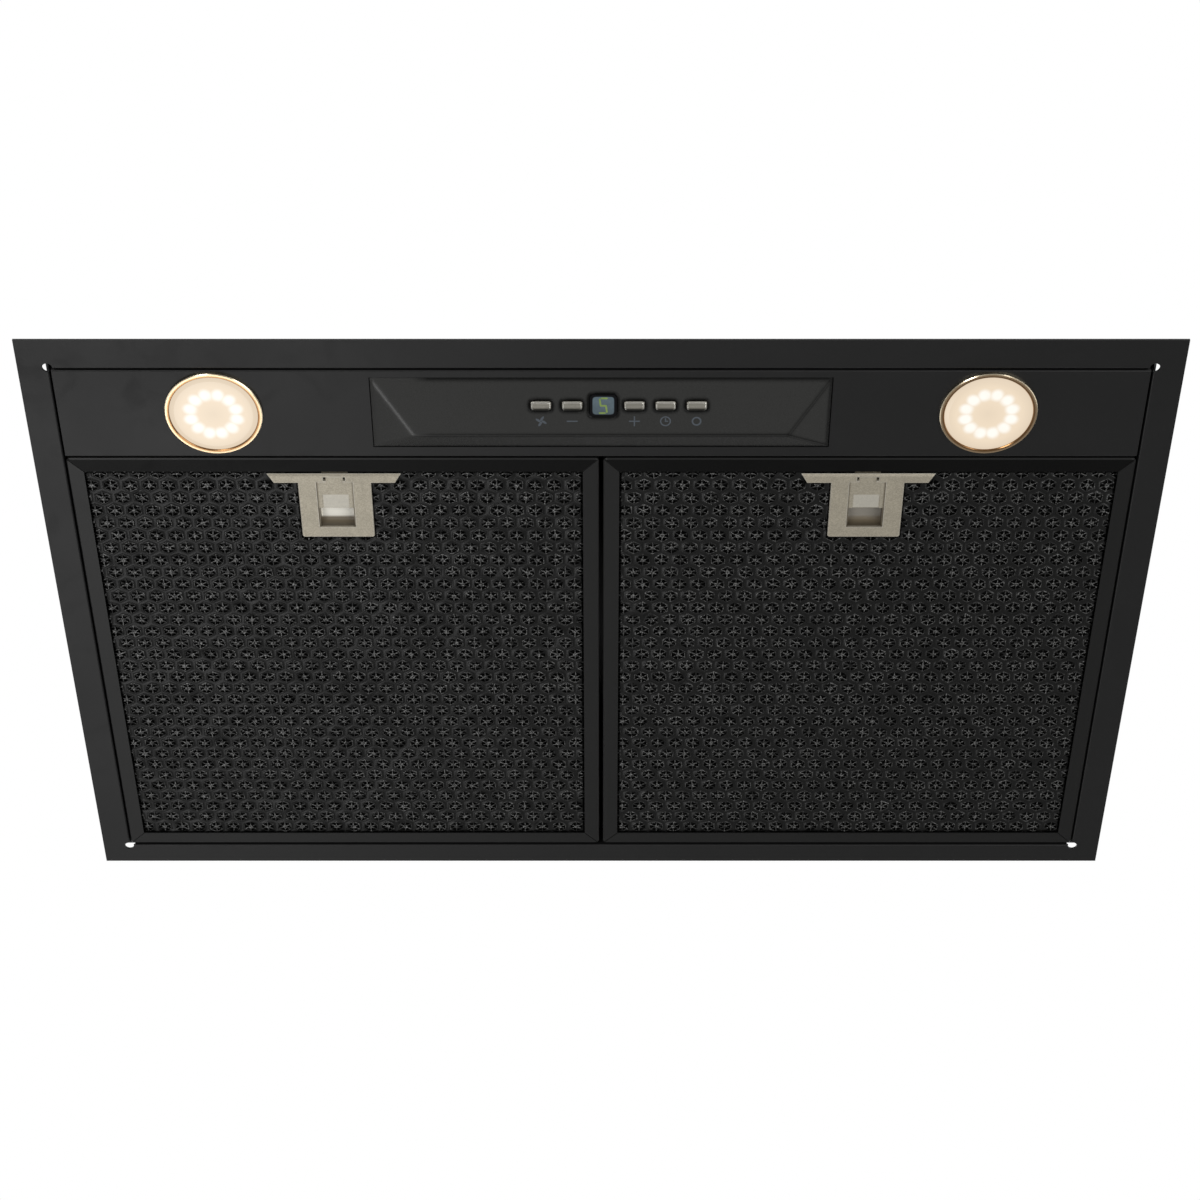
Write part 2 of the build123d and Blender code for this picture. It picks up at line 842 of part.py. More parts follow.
def electronics_cover():
    grow = box_cover_clearance + box_wall
    x0, x1 = box_x - box_width / 2 - grow, box_x + box_width / 2 + grow
    y0, y1 = box_y - box_length / 2 - grow, box_y + box_length / 2 + grow
    z0, z1 = lid_top + box_height - box_cover_lip, lid_top + box_height + box_wall
    cover = block(x0, x1, y0, y1, z0, z1)
    cover = fillet(cover.edges().filter_by(Axis.Z), box_wall * 2)
    cover = chamfer(cover.edges().group_by(Axis.Z)[-1], box_wall / 2)
    inner = box_cover_clearance
    return cover - block(
        box_x - box_width / 2 - inner,
        box_x + box_width / 2 + inner,
        box_y - box_length / 2 - inner,
        box_y + box_length / 2 + inner,
        z0,
        lid_top + box_height,
    )


def main_board_z():
    return lid_top + box_wall + box_post_height


def main_board():
    inset = box_wall + main_board_margin / 2
    x, y, z = box_width / 2 - inset, box_length / 2 - inset, main_board_z()
    return block(box_x - x, box_x + x, box_y - y, box_y + y, z, z + board_thickness)


def transformer():
    """Laminated core with a wound bobbin, on the main board."""
    z0 = main_board_z() + board_thickness
    y = box_y - box_length / 4
    half = transformer_length / 2
    coil = transformer_width / 2
    wound = half - transformer_end_margin
    bobbin = block(-coil, coil, y - wound, y + wound, z0, z0 + transformer_height)
    bobbin = fillet(bobbin.edges().filter_by(Axis.Z), transformer_end_margin)
    core = block(
        -transformer_core_width / 2,
        transformer_core_width / 2,
        y - half,
        y + half,
        z0,
        z0 + transformer_height + transformer_core_rise,
    )
    return Pos(box_x, 0, 0) * (bobbin + core)


def terminal_block():
    """Row of screw terminals for the supply leads."""
    z0 = main_board_z() + board_thickness
    y = box_y + box_length / 4
    body = block(
        box_x - terminal_length / 2,
        box_x + terminal_length / 2,
        y - terminal_width / 2,
        y + terminal_width / 2,
        z0,
        z0 + terminal_height,
    )
    pitch = terminal_length / terminal_ways
    for n in range(terminal_ways):
        x = box_x + (n - (terminal_ways - 1) / 2) * pitch
        body -= disc(terminal_hole_radius, z0 + terminal_height / 2, z0 + terminal_height, x, y)
        body -= rod_y(terminal_hole_radius, y, y + terminal_width, x, z0 + terminal_height / 3)
    return body


def motor_capacitor():
    """Can lying on the main board between the transformer and the terminals."""
    z = main_board_z() + board_thickness + capacitor_radius
    half = capacitor_length / 2
    can = rod_x(capacitor_radius, box_x - half, box_x + half, box_y, z)
    can = chamfer(can.edges().filter_by(GeomType.CIRCLE), capacitor_edge_bevel)
    foot = z - capacitor_radius
    width = capacitor_saddle_width / 2
    saddle = block(box_x - half / 2, box_x + half / 2, box_y - width, box_y + width, foot, z)
    return can + saddle


def cable_gland():
    """Hexagonal gland through the rear wall of the electronics box."""
    gx, gy, gz = gland_place()
    inside = gy - box_wall - gland_nut_length
    hexagon = RegularPolygon(gland_nut_width / 2, 6)
    body = rod_y(gland_thread_radius, inside, gy + gland_nut_length, gx, gz)
    nut = extrude(Plane.XZ.offset(-(gy + gland_nut_length)) * Pos(gx, gz) * hexagon, gland_nut_length)
    back_nut = extrude(Plane.XZ.offset(-(gy - box_wall)) * Pos(gx, gz) * hexagon, gland_nut_length)
    tip = gy + gland_nut_length + gland_dome_length
    dome = rod_y(gland_thread_radius, gy + gland_nut_length, tip, gx, gz)
    dome = chamfer(dome.edges().group_by(Axis.Y)[-1], gland_dome_length / 4)
    gland = body + nut + back_nut + dome
    return gland - rod_y(gland_bore_radius, inside, tip, gx, gz)


def wiring_loom():
    path = FilletPolyline(*loom_points(), radius=loom_bend_radius)
    start = Plane(origin=path @ 0, z_dir=path % 0)
    return sweep(start * RegularPolygon(loom_radius, loom_facets), path=path)


# Control moulding, its buttons, display and board


def control_profiles(inset):
    """The wedge's two silhouettes, drawn tall above the panel: in (y, z), and in (x, z)."""
    tall = control_back_height
    ridge_y = control_front + control_ridge_depth
    ridge_z = face_z - control_ridge_height
    ridge_x = control_x - control_facet_width
    side = outline(
        (control_front, tall),
        (control_front, face_z),
        (ridge_y, ridge_z),
        (control_rear, face_z),
        (control_rear, tall),
    )
    front = outline(
        (-control_x, tall),
        (-control_x, face_z),
        (-ridge_x, ridge_z),
        (ridge_x, ridge_z),
        (control_x, face_z),
        (control_x, tall),
    )
    if inset:
        side = offset(side, -inset, kind=Kind.INTERSECTION)
        front = offset(front, -inset, kind=Kind.INTERSECTION)
    return side, front


def wedge(inset):
    side, front = control_profiles(inset)
    return along_x(side, -control_x, control_x) & along_y(front, control_front, control_rear)


def control_plane():
    """Plane on the tilted face at the button row: X across, Y towards the ridge, Z into the moulding."""
    y = control_front + button_row_depth
    z = face_z - button_row_depth * control_ridge_height / control_ridge_depth
    tilt = radians(control_tilt)
    return Plane(origin=(0, y, z), x_dir=(1, 0, 0), z_dir=(0, sin(tilt), cos(tilt)))


def row_x(slot):
    """X of one place in the row of buttons; the display takes one of the places."""
    return button_first + slot * button_pitch


def button_slots():
    return [n for n in range(button_count + 1) if n != display_slot]


def tilted(face, x, z0, z1):
    """A face on the control plane at x, extruded from depth z0 to z1."""
    return extrude(control_plane().offset(z0) * Pos(x, 0) * face, z1 - z0)


def board_low():
    """Depth of the control board's near face behind the tilted face."""
    stem = control_wall + button_seat_gap + button_flange_thickness + button_stem_length
    return stem + button_travel + plunger_gap + plunger_height + switch_height


def board_span():
    """X range of the control board."""
    return row_x(0) - board_end_margin, row_x(button_count) + board_end_margin


def board_posts():
    x0, x1 = board_span()
    inset = board_post_half + board_post_edge
    half = board_margin - inset
    return [(x, y) for x in (x0 + inset, x1 - inset) for y in (-half, half)]


def control_bezel():
    """Hollow wedge moulding with a rim behind the panel and posts for the board."""
    shell = wedge(0.0) & block(
        -control_x, control_x, control_front, control_rear, -control_back_height, control_rim_thickness
    )
    ridges = [
        e
        for e in shell.edges()
        if e.bounding_box().min.Z < face_z - control_ridge_height + match
    ]
    shell = fillet(ridges, control_ridge_radius)
    shell += block(
        -control_x - control_rim,
        control_x + control_rim,
        control_front - control_rim + control_gap,
        control_rear + control_rim,
        0,
        control_rim_thickness,
    )
    shell -= wedge(control_wall)
    for x, y in board_posts():
        post = Pos(0, y) * Rectangle(2 * board_post_half, 2 * board_post_half)
        shell += tilted(post, x, control_wall / 2, board_low())
    hole = RectangleRounded(
        button_width + 2 * button_clearance,
        button_depth + 2 * button_clearance,
        button_corner_radius + button_clearance,
    )
    for slot in button_slots():
        shell -= tilted(hole, row_x(slot), -cutter_margin, control_wall + cutter_margin)
    window = RectangleRounded(
        display_width + 2 * button_clearance, display_height + 2 * button_clearance, display_corner_radius
    )
    return shell - tilted(window, row_x(display_slot), -cutter_margin, control_wall + cutter_margin)


def button(slot):
    """Push button: cap, retaining flange and stem over its switch."""
    x = row_x(slot)
    flange_low = control_wall + button_seat_gap
    flange_high = flange_low + button_flange_thickness
    cap = RectangleRounded(button_width, button_depth, button_corner_radius)
    cap = tilted(cap, x, -button_proud, flange_low)
    near = cap.faces().sort_by_distance(control_plane().from_local_coords((x, 0, -button_proud)))[0]
    cap = chamfer(near.edges(), button_edge_bevel)
    flange = Rectangle(button_width + 2 * button_flange, button_depth + 2 * button_flange)
    cap += tilted(flange, x, flange_low, flange_high)
    stem = Rectangle(button_stem_width, button_stem_width)
    return cap + tilted(stem, x, flange_high, flange_high + button_stem_length)


def display_window():
    """Clear window with a flange behind the moulding's wall."""
    x = row_x(display_slot)
    pane = RectangleRounded(display_width, display_height, display_corner_radius - button_clearance)
    flange = RectangleRounded(
        display_width + 2 * display_flange, display_height + 2 * display_flange, display_corner_radius
    )
    window = tilted(pane, x, -display_proud, control_wall)
    return window + tilted(flange, x, control_wall, control_wall + display_flange)


def display_module():
    """Digit block between the window and the board."""
    x = row_x(display_slot)
    body = Rectangle(display_width, display_height)
    block_low = control_wall + display_flange
    module = tilted(body, x, board_low() - display_body_height, board_low())
    neck = Rectangle(display_width * display_neck_share, display_height * display_neck_share)
    return module + tilted(neck, x, block_low, board_low() - display_body_height)


def control_board():
    x0, x1 = board_span()
    board = Rectangle(x1 - x0, 2 * board_margin)
    return tilted(board, (x0 + x1) / 2, board_low(), board_low() + board_thickness)


def control_switches():
    """One tactile switch under each button."""
    switches = []
    for slot in button_slots():
        x = row_x(slot)
        body = tilted(Rectangle(switch_size, switch_size), x, board_low() - switch_height, board_low())
        top = board_low() - switch_height
        switches.append(body + tilted(Rectangle(plunger_width, plunger_width), x, top - plunger_height, top))
    return Compound(switches)


def control_back_cover():
    """Open box over the back of the control board, seated on the moulding's rim."""
    x0 = control_back_offset - control_back_width / 2
    x1 = control_back_offset + control_back_width / 2
    y0, y1 = control_front - control_rim + 2 * control_gap, control_rear + control_rim - control_gap
    z0, z1 = control_rim_thickness, control_rim_thickness + control_back_height
    wall = control_back_wall
    cover = block(x0, x1, y0, y1, z0, z1)
    top_edges = cover.edges().group_by(Axis.Z)[-1]
    cover = chamfer(top_edges + cover.edges().filter_by(Axis.Z), wall / 2)
    cover -= block(x0 + wall, x1 - wall, y0 + wall, y1 - wall, z0, z1 - wall)
    return cover - loom_hole(loom_points()[0], z1 - wall, z1)


# Lamps


def neck_inner():
    """Radius inside the bezel's neck, a seat's width outside its lip."""
    return lamp_bezel_radius - lamp_lip + lamp_lens_seat


def neck_outer():
    return neck_inner() + lamp_neck_wall


def lens_low():
    """Height of the lip that the lens rests on."""
    return face_z - lamp_bezel_proud + lamp_lip_thickness


def lamp_bezel(side):
    """Turned ring: bevelled lip under the panel and a thin neck through it."""
    low = face_z - lamp_bezel_proud
    lip_top = lens_low()
    inner, neck = neck_inner(), neck_outer()
    lip_inner = lamp_bezel_radius - lamp_lip
    section = outline(
        (lip_inner, low),
        (lamp_bezel_radius, low),
        (lamp_bezel_radius, face_z),
        (neck, face_z),
        (neck, lamp_neck_length),
        (inner, lamp_neck_length),
        (inner, lip_top),
        (lip_inner, lip_top),
    )
    rim = [v for v in section.vertices() if abs(v.Y - low) < match]
    section = chamfer(rim, lamp_lip_bevel)
    ring = revolve(Plane.XZ * section, Axis.Z)
    return Pos(side * lamp_x, lamp_y, 0) * ring


def lamp_lens(side):
    """Frosted disc with a bevelled crown, resting on the bezel's lip."""
    low = lens_low()
    rim = neck_inner() - lamp_lens_clearance
    lip_inner = lamp_bezel_radius - lamp_lip - lamp_lens_clearance
    high = low + lamp_lens_thickness
    crown = low - lamp_lens_crown
    section = outline(
        (0, crown), (lip_inner - lamp_lens_bevel, crown), (lip_inner, low), (rim, low), (rim, high), (0, high)
    )
    return Pos(side * lamp_x, lamp_y, 0) * revolve(Plane.XZ * section, Axis.Z)


def lamp_board_low():
    return lamp_neck_length + lamp_cup_height - lamp_board_thickness


def lamp_board(side):
    """Round board with a ring of light-emitting diodes."""
    low = lamp_board_low()
    radius = neck_outer() - lamp_cup_wall - lamp_lens_clearance
    board = disc(radius, low, low + lamp_board_thickness)
    half = led_size / 2
    chip = block(led_ring_radius - half, led_ring_radius + half, -half, half, low - led_height, low)
    for n in range(led_count):
        board += Rot(0, 0, 360.0 * n / led_count) * chip
    return Pos(side * lamp_x, lamp_y, 0) * board


def lamp_housing(side):
    """Finned cup that sits on the bezel's neck and carries the board."""
    radius = neck_outer()
    low, roof = lamp_neck_length, lamp_neck_length + lamp_cup_height
    top = roof + lamp_sink_height
    cup = disc(radius, low, top) - disc(radius - lamp_cup_wall, low, roof)
    fins = int(2 * radius / lamp_fin_pitch)
    for n in range(fins):
        y = (n - (fins - 1) / 2) * lamp_fin_pitch
        cup -= block(-radius, radius, y - lamp_fin_gap / 2, y + lamp_fin_gap / 2, roof + lamp_cup_wall, top)
    return Pos(side * lamp_x, lamp_y, 0) * cup


# Grease filters: mitred channel frame round three layers of mesh, with a sliding latch


def filter_frame(side):
    half = filter_width / 2
    centre = side * filter_x
    frame = block(-half, half, filter_front, filter_rear, face_z, filter_top)
    frame = fillet(frame.edges().filter_by(Axis.Z), filter_corner_radius)
    low_rim = frame.edges().group_by(Axis.Z)[0]
    frame = chamfer(low_rim, filter_edge_bevel)
    rail, wall = filter_rail, filter_wall
    frame -= block(-half + rail, half - rail, filter_front + rail, filter_rear - rail, face_z, filter_top)
    frame -= block(
        -half + wall, half - wall, filter_front + wall, filter_rear - wall, mesh_low, mesh_high
    )
    cut = mitre_groove_width / 2
    groove = block(-2 * rail, 2 * rail, -cut, cut, face_z, face_z + mitre_groove_depth)
    for sx in (-1, 1):
        for y, sy in ((filter_front, -1), (filter_rear, 1)):
            turn = 45.0 * sx * sy
            frame -= Pos(sx * (half - rail / 2), y - sy * rail / 2, 0) * Rot(0, 0, turn) * groove
    tongue_half = tongue_width / 2 + keeper_clearance
    low = tongue_height - keeper_clearance
    high = tongue_height + tongue_thickness + keeper_clearance
    frame -= block(-tongue_half, tongue_half, filter_front, filter_front + wall, low, high)
    tab_low = tab_seat_height + tab_clearance
    tab_high = tab_low + tab_thickness
    for end in (-1, 1):
        x = end * (half - tab_inset)
        x0, x1 = x - tab_width / 2, x + tab_width / 2
        frame += block(x0, x1, filter_rear - wall, filter_rear + tab_reach, tab_low, tab_high)
    return Pos(centre, 0, 0) * frame


def latch_start():
    """Y of the latch plate's front edge."""
    return filter_front + filter_rail + latch_rail_gap


def mesh_box(side, z0, z1):
    half = filter_width / 2 - filter_wall - mesh_edge_clearance
    inset = filter_wall + mesh_edge_clearance
    x = side * filter_x
    return block(x - half, x + half, filter_front + inset, filter_rear - inset, z0, z1)


def guide_inner():
    """Half width between the latch plate's guides."""
    return latch_window_width / 2 + slider_overlap + slider_clearance


def latch_space(side, front, z0, z1):
    """Cutter for the room that the latch takes in a mesh layer."""
    half = guide_inner() + guide_thickness + slider_clearance
    x = side * filter_x
    return block(x - half, x + half, front, latch_start() + latch_length - latch_space_end, z0, z1)


def filter_front_mesh(side):
    z1 = mesh_low + mesh_sheet
    front = latch_start() - latch_engage - slider_clearance
    return mesh_box(side, mesh_low, z1) - latch_space(side, front, mesh_low, z1)


def filter_rear_mesh(side):
    return mesh_box(side, mesh_high - mesh_sheet, mesh_high)


def filter_core(side):
    """Corrugated middle layer between the two flat ones."""
    z0, z1 = mesh_low + mesh_sheet, mesh_high - mesh_sheet
    inset = filter_wall + mesh_edge_clearance
    y0, y1 = filter_front + inset, filter_rear - inset
    count = int((y1 - y0) / core_pitch)
    start = y0 + ((y1 - y0) - count * core_pitch) / 2
    flat = core_pitch / 4
    crest = z1 - mesh_sheet
    points = []
    for n in range(count):
        y = start + n * core_pitch
        points += [(y, z0), (y + flat, z0), (y + 2 * flat, crest), (y + 3 * flat, crest)]
    points.append((start + count * core_pitch, z0))
    half = filter_width / 2 - inset
    x = side * filter_x
    core = along_x(folded(points, mesh_sheet), x - half, x + half)
    return core - latch_space(side, filter_front, z0, z1)


def latch_window(y, grow, z0, z1):
    """Stepped opening of the latch plate, about x = 0."""
    half, step = latch_window_width / 2 + grow, latch_step_width / 2 + grow
    front = y + latch_window_inset
    end = y + latch_length - latch_window_end
    cut = block(-half, half, front - grow, end + grow, z0, z1)
    return cut + block(-step, step, front - latch_step_depth - grow, front, z0, z1)


def latch_notches(y, z0, z1):
    """Cutters for the reliefs at both sides of the window's step, about x = 0."""
    front = y + latch_window_inset - latch_step_depth
    inner = latch_step_width / 2
    outer = inner + latch_notch_width
    return [
        block(*sorted((sx * inner, sx * outer)), front, front + latch_notch_length, z0, z1) for sx in (-1, 1)
    ]


def latch_plate(side):
    """T-shaped plate under the mesh, with guides for the slider and a bridge for its spring."""
    y = latch_start()
    low, high = mesh_low - latch_plate_sheet, mesh_low
    bar, body = latch_bar_width / 2, latch_body_width / 2
    shape = outline(
        (-bar, y),
        (bar, y),
        (bar - latch_bar_taper, y + latch_bar_depth),
        (body, y + latch_bar_depth),
        (body, y + latch_length),
        (-body, y + latch_length),
        (-body, y + latch_bar_depth),
        (-bar + latch_bar_taper, y + latch_bar_depth),
    )
    ends = [v for v in shape.vertices() if abs(v.Y - y - latch_length) < match]
    shape = fillet(ends, latch_corner_radius)
    plate = extrude(Plane.XY.offset(low) * shape, latch_plate_sheet)
    plate = chamfer(plate.edges().group_by(Axis.Z)[0], latch_edge_bevel)
    lip = outline((y, low), (y + latch_front_bevel_run, low), (y, low + latch_front_bevel_rise))
    plate -= along_x(lip, -bar, bar)
    plate -= latch_window(y, 0.0, low, high)
    plate -= latch_notches(y, low, high)
    inner = guide_inner()
    outer = inner + guide_thickness
    front, end = y + latch_window_inset + guide_front_inset, y + latch_length - guide_rear_inset
    over_slider = high + slider_lift + slider_plate + slider_clearance
    for sx in (-1, 1):
        x0, x1 = sorted((sx * inner, sx * outer))
        plate += block(x0, x1, front, end, high, high + guide_height)
        lip0, lip1 = sorted((sx * (inner - guide_lip), sx * inner))
        plate += block(lip0, lip1, front, end, over_slider, high + guide_height)
    bridge = bridge_front(y)
    plate += block(-outer, outer, bridge, bridge + bridge_thickness, over_slider, bridge_top)
    return Pos(side * filter_x, 0, 0) * plate


def pocket_front(y):
    return y + latch_length - latch_window_end - pocket_length


def bridge_front(y):
    """Y of the fixed bridge that the latch spring pushes against."""
    return pocket_front(y) - pocket_wall - latch_engage - bridge_gap - bridge_thickness


def slider_front(y):
    return y + latch_window_inset - latch_step_depth - slider_overlap / 2


def latch_slider(side):
    """Sliding bolt: face plate with a finger pocket, an upright arm and the tongue."""
    y = latch_start()
    low = mesh_low + slider_lift
    high = low + slider_plate
    half = latch_window_width / 2 + slider_overlap
    front = slider_front(y)
    end = y + latch_length - latch_window_end + pocket_wall
    slider = block(-half, half, front, end, low, high)
    pocket_half = latch_window_width / 2 - 2 * slider_clearance
    roof = low + pocket_depth
    box_half = pocket_half + pocket_wall - slider_clearance
    slider += block(-box_half, box_half, pocket_front(y) - pocket_wall, end, low, roof)
    pad = pocket_front(y) - pad_length
    slider -= block(-pad_width / 2, pad_width / 2, pad, pocket_front(y), low, low + pad_depth)
    scoop_end = end - pocket_wall
    scoop_roof = roof - pocket_wall
    scoop = outline(
        (pocket_front(y), low), (scoop_end, low), (scoop_end, scoop_roof), (pocket_front(y), scoop_roof)
    )
    deep = [v for v in scoop.vertices() if abs(v.Y - scoop_roof) < match]
    scoop = fillet(deep, pocket_scoop_radius)
    slider -= along_x(scoop, -pocket_half, pocket_half)
    arm = tongue_thickness
    tongue_high = tongue_height + tongue_thickness
    tongue_half = tongue_width / 2
    slider += block(-tongue_half, tongue_half, front, front + arm, low, tongue_high)
    tip = fascia_rear + tongue_clearance
    slider += block(-tongue_half, tongue_half, tip, front + arm, tongue_height, tongue_high)
    slider -= latch_notches(y, low, low + latch_notch_depth)
    return Pos(side * filter_x, 0, 0) * slider


def latch_spring(side):
    """Concertina spring of bent strip between the slider's arm and the bridge."""
    y = latch_start()
    y0 = slider_front(y) + tongue_thickness + slider_clearance
    y1 = bridge_front(y) - slider_clearance - spring_strip
    fold = (y1 - y0) / spring_turns
    points = []
    for n in range(spring_turns):
        start = y0 + n * fold
        points += [
            (-spring_half_width, start),
            (spring_half_width, start),
            (spring_half_width, start + fold / 2),
            (-spring_half_width, start + fold / 2),
        ]
    points += [(-spring_half_width, y1), (spring_half_width, y1)]
    low = tongue_height + tongue_thickness / 2 - spring_height / 2
    strip = extrude(Plane.XY.offset(low) * folded(points, spring_strip), spring_height)
    return Pos(side * filter_x, 0, 0) * strip


parts["canopy_frame"] = canopy_frame()
parts["fascia_panel"] = fascia_panel()
parts["casing_front"] = casing_front_panel()
parts["casing_back"] = casing_back_panel()
both_sides(casing_side, "casing")
parts["casing_lid"] = casing_lid()
parts["lid_screws"] = lid_screw_set()
parts["collar_screws"] = collar_screw_set()

parts["outlet_collar"] = outlet_collar()
parts["damper_pin"] = damper_pin()
parts["damper_flap_front"] = damper_flap(True)
parts["damper_flap_rear"] = damper_flap(False)

both_sides(scroll_half_shell, "scroll")
parts["impeller"] = impeller()
parts["motor_shaft"] = motor_shaft()
parts["motor_body"] = motor_body()
parts["motor_bracket"] = motor_bracket()

parts["electronics_box"] = electronics_box()
parts["electronics_cover"] = electronics_cover()
parts["main_board"] = main_board()
parts["transformer"] = transformer()
parts["motor_capacitor"] = motor_capacitor()
parts["terminal_block"] = terminal_block()
parts["cable_gland"] = cable_gland()
parts["wiring_loom"] = wiring_loom()

parts["control_bezel"] = control_bezel()
parts["control_board"] = control_board()
parts["control_switches"] = control_switches()
parts["control_back_cover"] = control_back_cover()
parts["display_window"] = display_window()
parts["display_module"] = display_module()
for button_name, button_slot in zip(("fan", "slower", "faster", "timer", "light"), button_slots()):
    parts[f"button_{button_name}"] = button(button_slot)

both_sides(lamp_bezel, "lamp_bezel")
both_sides(lamp_lens, "lamp_lens")
both_sides(lamp_board, "lamp_board")
both_sides(lamp_housing, "lamp_housing")

both_sides(filter_frame, "filter_frame")
both_sides(filter_front_mesh, "filter_front_mesh")
both_sides(filter_core, "filter_core")
both_sides(filter_rear_mesh, "filter_rear_mesh")
both_sides(latch_plate, "latch_plate")
both_sides(latch_slider, "latch_slider")
both_sides(latch_spring, "latch_spring")

os.makedirs("parts", exist_ok=True)
for name, shape in parts.items():
    export_step(shape, f"parts/{name}.step")
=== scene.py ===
import json
import math
from functools import cached_property

import bmesh
import bpy
from bpy.props import FloatProperty, FloatVectorProperty, IntProperty, PointerProperty
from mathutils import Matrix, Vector


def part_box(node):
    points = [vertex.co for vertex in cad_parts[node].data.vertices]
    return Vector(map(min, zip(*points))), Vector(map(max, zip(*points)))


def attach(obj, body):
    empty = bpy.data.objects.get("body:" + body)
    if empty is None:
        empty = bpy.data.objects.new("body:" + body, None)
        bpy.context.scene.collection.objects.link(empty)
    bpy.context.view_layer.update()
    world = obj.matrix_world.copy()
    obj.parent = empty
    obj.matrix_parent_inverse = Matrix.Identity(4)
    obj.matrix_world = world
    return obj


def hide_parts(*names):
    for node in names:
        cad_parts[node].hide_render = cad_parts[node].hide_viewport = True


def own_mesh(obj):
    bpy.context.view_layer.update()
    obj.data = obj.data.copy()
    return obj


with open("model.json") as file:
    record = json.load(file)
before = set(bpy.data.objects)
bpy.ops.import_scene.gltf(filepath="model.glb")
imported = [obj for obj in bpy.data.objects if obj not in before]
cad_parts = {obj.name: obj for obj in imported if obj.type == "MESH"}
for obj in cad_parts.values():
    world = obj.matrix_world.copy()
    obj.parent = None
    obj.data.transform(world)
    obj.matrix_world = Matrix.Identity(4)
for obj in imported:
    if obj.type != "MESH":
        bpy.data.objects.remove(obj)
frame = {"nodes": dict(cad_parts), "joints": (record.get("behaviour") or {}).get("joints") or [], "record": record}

bl_info = {
    "name": "Undermount Range Hood",
    "version": (1, 0, 0),
    "blender": (4, 5, 0),
    "location": "3D View > Sidebar > Hood",
    "description": "Mesh screens, controls, finishes and studio for an undermount range hood",
    "category": "Object",
}

MM = 0.001
SIDES = ("left", "right")
BUTTONS = ("fan", "slower", "faster", "timer", "light")
QUARTER_TURN = math.pi / 2
ORIGIN = (0.0, 0.0, 0.0)
WHITE = (1.0, 1.0, 1.0, 1.0)
HOLE = "hole"

# Small lengths, in metres
WELD = 0.00002  # points nearer than this are one
FACE_DEPTH = 0.0003  # points this near a node's outer end belong to its outer face
RAIL_BEVEL = 0.0007  # bevel along the filter frame's outer edge
BLUR = 0.0002  # width over which a mask fades
EDGE = 0.0005  # rolled edge of a latch plate, and clearance beside it
DRAW = 0.0004  # width of the slope that draws up the mesh's border
CRUMPLE = 0.0016  # size of the dents in the mesh
RIDGE = 0.003  # rounding of the control moulding's ridges
ROOF_BAND = (0.0020, 0.0016)  # below a slider's top: where its pocket's roof starts and is whole
ROOF_FADE = (0.0036, 0.0026)  # before a slider's rear end: where the light on the roof fades out
RIDGE_SHADE = (-0.086, -0.078)  # across the moulding: where its ridges pass from light to shade
TARGET = (-0.0005, -0.0148, -0.001)  # point that the camera looks at

# Each lamp's name, width and place, in metres
LAMPS = (("key", 0.6, (-0.52, 1.05, -1.45)), ("side", 0.4, (-0.69, 0.77, -1.68)),
         ("fill", 1.4, (1.15, -0.75, -1.45)), ("front", 0.6, (-0.75, -1.3, -1.2)))

NOISE_RANGE = (0.3, 0.7)  # most of a noise lies between these
CROWN_STEPS = ((0.88, 0.75), (0.28, 0.25))  # width kept and height won at each step of a crown
WEAVE = math.radians(38.0)  # lean of the crossing bands in a braid
END_SLOPE = 0.31  # share of X in the normals of the moulding's end facets


# Settings that a user may change

def length(name, description, default_mm):
    """A length property, given in millimetres."""
    return FloatProperty(name=name, description=description, default=default_mm * MM, min=0.0,
                         subtype="DISTANCE", unit="LENGTH", precision=5)


def angle(name, description, default_degrees):
    """An angle property, given in degrees."""
    return FloatProperty(name=name, description=description, default=math.radians(default_degrees),
                         subtype="ANGLE")


def power(name, description, default):
    """A lamp's power property, in watts."""
    return FloatProperty(name=name, description=description, default=default, min=0.0,
                         subtype="POWER", unit="POWER")


def colour(name, description, default):
    """A colour property, in linear values."""
    return FloatVectorProperty(name=name, description=description, default=default, size=3,
                               min=0.0, max=1.0, subtype="COLOR")


class HoodScreenSettings(bpy.types.PropertyGroup):
    """Embossed mesh at the front of each grease filter."""

    pitch: length("Pitch", "Distance between two clusters in a row", 9.0)
    row: length("Row", "Distance between two rows of clusters", 7.5)
    cluster: FloatProperty(name="Cluster", description="Share of the pitch that a cluster takes",
                           default=0.84, min=0.3, max=0.95, subtype="FACTOR")
    crown: length("Crown", "How far a cluster stands proud of the sheet", 0.5)
    pit: length("Pit", "How deep each hole of a cluster is pressed", 1.0)
    rim: length("Rim", "Width of the turned edge round each hole", 0.24)
    waver: length("Waver", "Unevenness of the pressing", 0.9)
    start: length("Start", "How far the first row lies outside the sheet's front edge", 0.25)
    lap: length("Lap", "How far the sheet runs under the rails", 6.5)
    margin: length("Margin", "Width of the flat margin in view beside the rails", 0.3)
    margin_rise: length("Margin Rise", "How far the margin is drawn up behind the rails", 0.45)
    # Painted shade: the width of the darkened band of mesh beside the rails and round the latch.
    gap: length("Gap", "Width of the dark gap beside the rails and round the latch", 0.9)
    latch_bar: length("Latch Bar", "Depth of the bar at the latch's front", 5.3)
    latch_body: length("Latch Body", "Width of the latch behind its bar", 34.2)


class HoodSpringSettings(bpy.types.PropertyGroup):
    """Folded springs behind the latch sliders."""

    strip: length("Strip", "Thickness of the spring's strip", 0.3)
    bend: length("Bend", "Radius of each bend in the strip", 0.28)
    folds: IntProperty(name="Folds", description="Full folds in each spring", default=6,
                       min=2, max=20)


